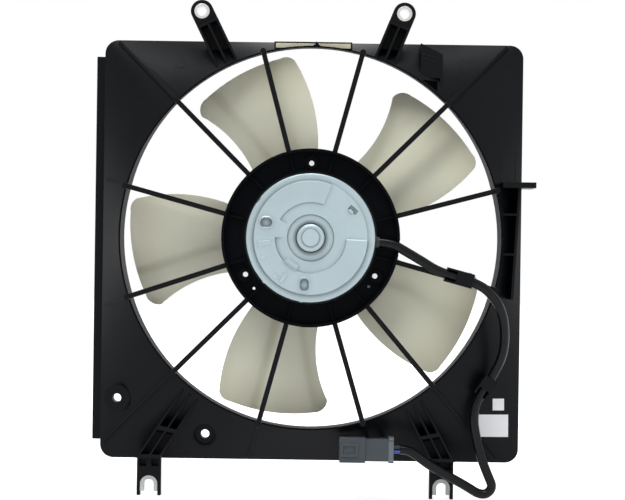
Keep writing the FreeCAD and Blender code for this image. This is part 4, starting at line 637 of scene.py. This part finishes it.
def cover_form():
    """The rear cover as a grid of circles and radii, with its rim turned down to the can."""
    form = bmesh.new()
    radii, start = [], 0.0
    for end, steps in COVER_BANDS:
        radii += [start + (end - start) * (step + 1) / steps for step in range(steps)]
        start = end
    rings = []
    turns = [360 * number / COVER_SPOKES for number in range(COVER_SPOKES)]
    for radius in radii:
        ring = []
        for angle in turns:
            turn = math.radians(angle)
            out = radius + rim_reach(angle) * rise(radius - FIELD_OUTER - CRIMP_PAST, CRIMP_STEP)
            deep = COVER_BACK + cover_height(radius, angle)
            ring.append(form.verts.new((AXIS_X + out * math.cos(turn) * MM, -deep * MM,
                                        AXIS_Z + out * math.sin(turn) * MM)))
        rings.append(ring)
    foot = []
    for vert in rings[-1]:
        foot.append(form.verts.new((vert.co.x, -COVER_FOOT * MM, vert.co.z)))
    rings.append(foot)
    top = COVER_BACK + cover_height(0.0, 0.0)
    middle = form.verts.new((AXIS_X, -top * MM, AXIS_Z))
    count = len(turns)
    for number in range(count):
        after = (number + 1) % count
        form.faces.new((middle, rings[0][number], rings[0][after]))
        for inner, outer in zip(rings, rings[1:]):
            form.faces.new((inner[number], outer[number], outer[after], inner[after]))
    return form


# Marks on the shroud, as the camera sees them, in millimetres from the fan axis in the plane of
# the ring's edge: right, up
SEEN_DEPTH = -32.0
LABEL_LIFT, SHADE_SHEET_LIFT, BEAD_FOOT = 0.15, 0.1, 0.02
LINE_STEPS, RING_STEPS, RING_WIDE, RING_HIGH = 20, 28, 0.9, 0.3
BIG_LABEL = ((160.2, -185.6), (189.1, -185.4), (188.9, -164.3), (160.1, -164.6))
SMALL_LABEL = ((174.2, -160.5), (184.9, -160.4), (184.8, -149.3), (174.1, -149.4))
# Fine raised lines: start, end, width and height
LINES = (((178.4, 83.8), (178.8, 56.4), 0.9, 0.35), ((192.6, 84.0), (193.0, 56.6), 0.9, 0.35),
         ((175.6, 84.4), (196.3, 84.7), 0.9, 0.35), ((-47.0, -178.3), (-53.1, -207.7), 0.9, 0.35),
         ((97.0, 176.5), (118.4, 171.2), 1.2, 0.6), ((97.4, 172.5), (118.4, 167.2), 1.0, 0.5),
         ((115.8, 168.9), (116.8, 162.3), 1.0, 0.5))
# Round marks of the ejector pins: middle and radius
PIN_MARKS = ((-125.1, 163.6, 4.6), (-169.9, 121.4, 6.5), (-168.6, -110.1, 4.6),
             (-163.7, -187.5, 4.6), (141.4, 164.5, 5.6), (167.3, 131.8, 5.0), (77.2, 192.9, 3.6),
             (182.4, -1.2, 2.2))
# A sheet of painted shade where the pocket in the box's foot lies
BOX_SHADE_SHEET = ((104.6, 150.1), (117.8, 140.4), (117.8, 149.8), (104.0, 151.0))


def shroud_surface():
    """The shroud's CAD meshes as one search tree, in the row frame."""
    verts, faces = [], []
    for name in SHROUD_NODES:
        piece = NODES[name]
        first = len(verts)
        verts += [piece.matrix_world @ vert.co for vert in piece.data.vertices]
        faces += [[first + number for number in face.vertices] for face in piece.data.polygons]
    return BVHTree.FromPolygons(verts, faces)


def seen_spot(surface, x, z, lift):
    """The point of the shroud that the camera sees at a place, lifted off its surface."""
    stage = bpy.context.scene.fan_stage
    eye = Vector((stage.camera_x, -stage.distance, stage.camera_z))
    aim = Vector((AXIS_X + x * MM, SEEN_DEPTH * MM, AXIS_Z + z * MM))
    spot, normal, _, _ = surface.ray_cast(eye, aim - eye)
    return spot + normal * lift * MM


def mixed(start, end, share):
    """The point a share of the way from one to another."""
    return tuple(a + (b - a) * share for a, b in zip(start, end))


def patch(form, surface, corners, lift, steps=14):
    """A sheet on the shroud between four corners, given low left and onwards to the right."""
    low_left, low_right, high_right, high_left = corners
    rows = []
    for up in range(steps + 1):
        start = mixed(low_left, high_left, up / steps)
        end = mixed(low_right, high_right, up / steps)
        rows.append([form.verts.new(seen_spot(surface, *mixed(start, end, over / steps), lift))
                     for over in range(steps + 1)])
    for low, high in zip(rows, rows[1:]):
        for number in range(steps):
            form.faces.new((low[number], low[number + 1], high[number + 1], high[number]))


def bead(form, surface, path, wide, high, closed=False):
    """A raised line on the shroud along a path."""
    rows = []
    count = len(path)
    for number, (x, z) in enumerate(path):
        before = path[number - 1] if closed or number else path[number]
        after = path[(number + 1) % count] if closed or number < count - 1 else path[number]
        along = Vector((after[0] - before[0], after[1] - before[1])).normalized()
        side = Vector((-along.y, along.x)) * wide / 2
        rows.append([form.verts.new(seen_spot(surface, x + side.x * share, z + side.y * share,
                                              high if share == 0 else BEAD_FOOT))
                     for share in (-1, 0, 1)])
    pairs = list(zip(rows, rows[1:])) + ([(rows[-1], rows[0])] if closed else [])
    for first, last in pairs:
        for number in (0, 1):
            form.faces.new((first[number], first[number + 1], last[number + 1], last[number]))


class FAN_OT_markings(bpy.types.Operator):
    """Lay the blank labels, the fine lines, the pin marks and a sheet of painted shade on the
    shroud
    """

    bl_idname = "fan.markings"
    bl_label = "Marks on the shroud"

    def execute(self, context):
        surface = shroud_surface()
        colours = context.scene.fan_colours
        paper = plastic("blank paper", colours.paper, 0.5, grain=800.0, bump=0.03, edge=0.0,
                        vary=0.02)
        for name, corners in (("blank_label", BIG_LABEL), ("small_blank_label", SMALL_LABEL)):
            form = bmesh.new()
            patch(form, surface, corners, LABEL_LIFT)
            new_piece(name, form, paper, STILL)
        form = bmesh.new()
        for start, end, wide, high in LINES:
            path = [mixed(start, end, step / LINE_STEPS) for step in range(LINE_STEPS + 1)]
            bead(form, surface, path, wide, high)
        for x, z, radius in PIN_MARKS:
            turns = [math.tau * step / RING_STEPS for step in range(RING_STEPS)]
            ring = [(x + radius * math.cos(turn), z + radius * math.sin(turn)) for turn in turns]
            bead(form, surface, ring, RING_WIDE, RING_HIGH, closed=True)
        new_piece("moulding_marks", form, bpy.data.materials["shroud plastic"], STILL)
        # A black sheet as painted shade in the pocket of the box's foot
        form = bmesh.new()
        patch(form, surface, BOX_SHADE_SHEET, SHADE_SHEET_LIFT, 6)
        shade = plastic("deep shade", (0.0006, 0.0006, 0.0007), 0.9, specular=0.02)
        new_piece("painted_box_shade", form, shade, STILL)
        return {"FINISHED"}


class FAN_OT_cover(bpy.types.Operator):
    """Press the relief of the motor's rear cover"""

    bl_idname = "fan.cover"
    bl_label = "Motor cover"

    def execute(self, context):
        cover = new_piece("rear_cover_relief", cover_form(), bpy.data.materials["silver coat"],
                          STILL)
        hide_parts("motor_rear_cover")
        return {"FINISHED"}


# The sleeve's route from the grommet to the bare leads, from the fan axis, in millimetres
SLEEVE_ROUTE = (
    (64.41, -46.0, -3.38), (76.40, -46.0, -4.00), (88.0, -47.5, -10.8), (104.0, -49.2, -20.0),
    (121.0, -49.2, -30.6), (157.7, -49.2, -40.4), (172.5, -49.4, -53.0), (181.5, -42.0, -69.0),
    (185.0, -33.5, -88.0), (184.5, -25.0, -107.0), (177.8, -18.6, -125.2),
    (159.8, -19.4, -152.9), (157.2, -19.8, -171.5), (160.5, -20.2, -190.0),
    (165.5, -20.8, -208.0), (171.5, -21.5, -223.0), (177.0, -22.0, -235.5),
    (167.0, -22.0, -243.6), (149.0, -22.0, -232.6), (131.5, -23.0, -223.2),
    (115.0, -25.8, -213.6), (103.5, -27.8, -205.0), (95.0, -28.5, -199.2),
    (87.5, -28.5, -199.2))


def from_axis(x, y, z):
    """A place given in millimetres from the fan's axis, in the row frame."""
    return x * MM + AXIS_X, y * MM, z * MM + AXIS_Z


class FAN_OT_lead(bpy.types.Operator):
    """Lay the vinyl sleeve, and finish the leads and the connector"""

    bl_idname = "fan.lead"
    bl_label = "Lead and connector"

    def execute(self, context):
        colours, sizes = context.scene.fan_colours, context.scene.fan_sizes
        line = bpy.data.curves.new("vinyl_sleeve", "CURVE")
        line.dimensions = "3D"
        line.bevel_depth = sizes.sleeve / 2
        line.bevel_resolution = 5
        line.resolution_u = 10
        line.use_fill_caps = True
        spline = line.splines.new("NURBS")
        spline.points.add(len(SLEEVE_ROUTE) - 1)
        for point, place in zip(spline.points, SLEEVE_ROUTE):
            point.co = (*from_axis(*place), 1.0)
        spline.order_u = 3
        spline.use_endpoint_u = True
        sleeve = bpy.data.objects.new("vinyl_sleeve", line)
        context.scene.collection.objects.link(sleeve)
        line.materials.append(plastic("vinyl", colours.vinyl, 0.2, grain=500.0, bump=0.05,
                                      edge=0.0, vary=0.1, specular=0.15))
        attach(sleeve, STILL)
        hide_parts("harness_sleeve")
        dress("wire_black", plastic("black lead", colours.vinyl, 0.4))
        dress("wire_blue", plastic("blue lead", colours.blue, 0.4, vary=0.05))
        rubber = plastic("black rubber", shaded(colours.vinyl, 0.8), 0.6)
        dress("lead_grommet", rubber)
        dress("connector_wire_seals", rubber)
        dress("connector_housing", plastic("connector plastic", colours.connector, 0.26,
                                           edge=0.0008, vary=0.05, specular=0.2))
        dress("connector_rear_cap", plastic("cap plastic", shaded(colours.connector, 1.9), 0.36,
                                            edge=0.0006, vary=0.05))
        dress("connector_terminals", metal("terminal brass", (0.62, 0.47, 0.18), 0.25))
        return {"FINISHED"}


# Lamps: name, place and aim in metres, size, share of the key light's power
LAMPS = (("key lamp", (-0.5, -1.0, 1.6), (0.0, 0.0, -0.2), 0.7, 1.15),
         ("fill lamp", (1.6, -1.6, 0.1), (0.0, 0.0, -0.25), 1.4, 0.25),
         ("top lamp", (0.2, -0.45, 1.5), (0.0, 0.0, -0.2), 0.6, 0.7),
         ("back lamp", (0.3, 1.8, 0.6), (0.0, 0.0, -0.2), 1.6, 0.4))
# The room's light: heights between which it grows, and its strength below and above them
ROOM_COLOUR = (0.80, 0.82, 0.85, 1)
ROOM_FROM, ROOM_TO, ROOM_LOW, ROOM_HIGH = 0.05, 0.75, 0.12, 0.85
FLOOR_SIZE, FLOOR_GAP, FLOOR_GLOW = 6, 0.0005, 0.72


class FAN_OT_stage(bpy.types.Operator):
    """Set up the camera, the lamps and the pale floor"""

    bl_idname = "fan.stage"
    bl_label = "Stage"

    def execute(self, context):
        settings = context.scene.fan_stage
        scene = context.scene
        scene.view_settings.view_transform = "Standard"
        camera = bpy.data.cameras.new("camera")
        camera.lens = settings.lens
        camera.sensor_width = 36
        camera.clip_end = 50
        holder = bpy.data.objects.new("camera", camera)
        turn = Matrix.Rotation(math.pi / 2, 4, "X") @ Matrix.Rotation(settings.roll, 4, "Z")
        spot = Vector((settings.camera_x, -settings.distance, settings.camera_z))
        holder.matrix_world = Matrix.Translation(spot) @ turn
        scene.collection.objects.link(holder)
        scene.camera = holder
        for name, place, aim, size, share in LAMPS:
            lamp = bpy.data.lights.new(name, "AREA")
            lamp.shape = "SQUARE"
            lamp.size = size
            lamp.energy = settings.key * share
            lit = bpy.data.objects.new(name, lamp)
            lit.location = place
            lit.rotation_euler = (Vector(aim) - Vector(place)).to_track_quat("-Z", "Y").to_euler()
            scene.collection.objects.link(lit)
        self.world(scene)
        self.floor(scene)
        return {"FINISHED"}

    def world(self, scene):
        """A room that is dim ahead and bright above, with a white backdrop."""
        world = bpy.data.worlds.new("pale room")
        scene.world = world
        world.use_nodes = True
        tree = world.node_tree
        room = tree.nodes["Background"]
        room.inputs["Color"].default_value = ROOM_COLOUR
        parts = tree.nodes.new("ShaderNodeSeparateXYZ")
        place = tree.nodes.new("ShaderNodeTexCoord")
        tree.links.new(place.outputs["Generated"], parts.inputs[0])
        dome = tree.nodes.new("ShaderNodeMapRange")
        dome.interpolation_type = "SMOOTHSTEP"
        dome.inputs["From Min"].default_value = ROOM_FROM
        dome.inputs["From Max"].default_value = ROOM_TO
        dome.inputs["To Min"].default_value = ROOM_LOW
        dome.inputs["To Max"].default_value = ROOM_HIGH
        tree.links.new(parts.outputs["Z"], dome.inputs["Value"])
        tree.links.new(dome.outputs["Result"], room.inputs["Strength"])
        seen = tree.nodes.new("ShaderNodeBackground")
        seen.inputs["Color"].default_value = (1, 1, 1, 1)
        mix = tree.nodes.new("ShaderNodeMixShader")
        tree.links.new(shows_backdrop(tree), mix.inputs[0])
        tree.links.new(room.outputs[0], mix.inputs[1])
        tree.links.new(seen.outputs[0], mix.inputs[2])
        tree.links.new(mix.outputs[0], tree.nodes["World Output"].inputs["Surface"])

    def floor(self, scene):
        """A pale floor just under the object, which keeps its shadow."""
        form = bmesh.new()
        bmesh.ops.create_grid(form, x_segments=1, y_segments=1, size=FLOOR_SIZE)
        low = CAD_BOX[0][2] - FLOOR_GAP
        bmesh.ops.translate(form, verts=form.verts, vec=(0, 0, low))
        mesh = bpy.data.meshes.new("floor")
        form.to_mesh(mesh)
        form.free()
        floor = bpy.data.objects.new("floor", mesh)
        scene.collection.objects.link(floor)
        material = bpy.data.materials.new("pale floor")
        material.use_nodes = True
        tree = material.node_tree
        shader = tree.nodes["Principled BSDF"]
        shader.inputs["Base Color"].default_value = (0.85, 0.85, 0.85, 1)
        shader.inputs["Roughness"].default_value = 0.9
        glow = tree.nodes.new("ShaderNodeEmission")
        tree.links.new(math_node(tree, "MULTIPLY", shows_backdrop(tree), FLOOR_GLOW),
                       glow.inputs["Strength"])
        both = tree.nodes.new("ShaderNodeAddShader")
        tree.links.new(shader.outputs[0], both.inputs[0])
        tree.links.new(glow.outputs[0], both.inputs[1])
        tree.links.new(both.outputs[0], tree.nodes["Material Output"].inputs["Surface"])
        mesh.materials.append(material)


class FAN_PT_panel(bpy.types.Panel):
    """Lists the fan's steps and settings"""

    bl_idname = "FAN_PT_panel"
    bl_label = "Radiator fan"
    bl_space_type = "VIEW_3D"
    bl_region_type = "UI"
    bl_category = "Fan"

    def draw(self, context):
        for step in STEPS:
            self.layout.operator(step.bl_idname)
        for group in (context.scene.fan_colours, context.scene.fan_sizes,
                      context.scene.fan_stage):
            for name in group.bl_rna.properties.keys():
                if name not in ("rna_type", "name"):
                    self.layout.prop(group, name)


GROUPS = (("fan_colours", FanColours), ("fan_sizes", FanSizes), ("fan_stage", FanStage))
STEPS = (
    FAN_OT_shader_groups,
    FAN_OT_finish_shroud,
    FAN_OT_finish_wheel,
    FAN_OT_finish_motor,
    FAN_OT_cover,
    FAN_OT_markings,
    FAN_OT_lead,
    FAN_OT_stage,
)


def register():
    for name, group in GROUPS:
        bpy.utils.register_class(group)
        setattr(bpy.types.Scene, name, bpy.props.PointerProperty(type=group))
    for step in STEPS:
        bpy.utils.register_class(step)
    bpy.utils.register_class(FAN_PT_panel)


def unregister():
    bpy.utils.unregister_class(FAN_PT_panel)
    for step in reversed(STEPS):
        bpy.utils.unregister_class(step)
    for name, group in reversed(GROUPS):
        delattr(bpy.types.Scene, name)
        bpy.utils.unregister_class(group)


def main():
    register()
    for step in STEPS:
        operator = step.bl_idname.split(".")[1]
        getattr(bpy.ops.fan, operator)()


if __name__ == "__main__":
    main()
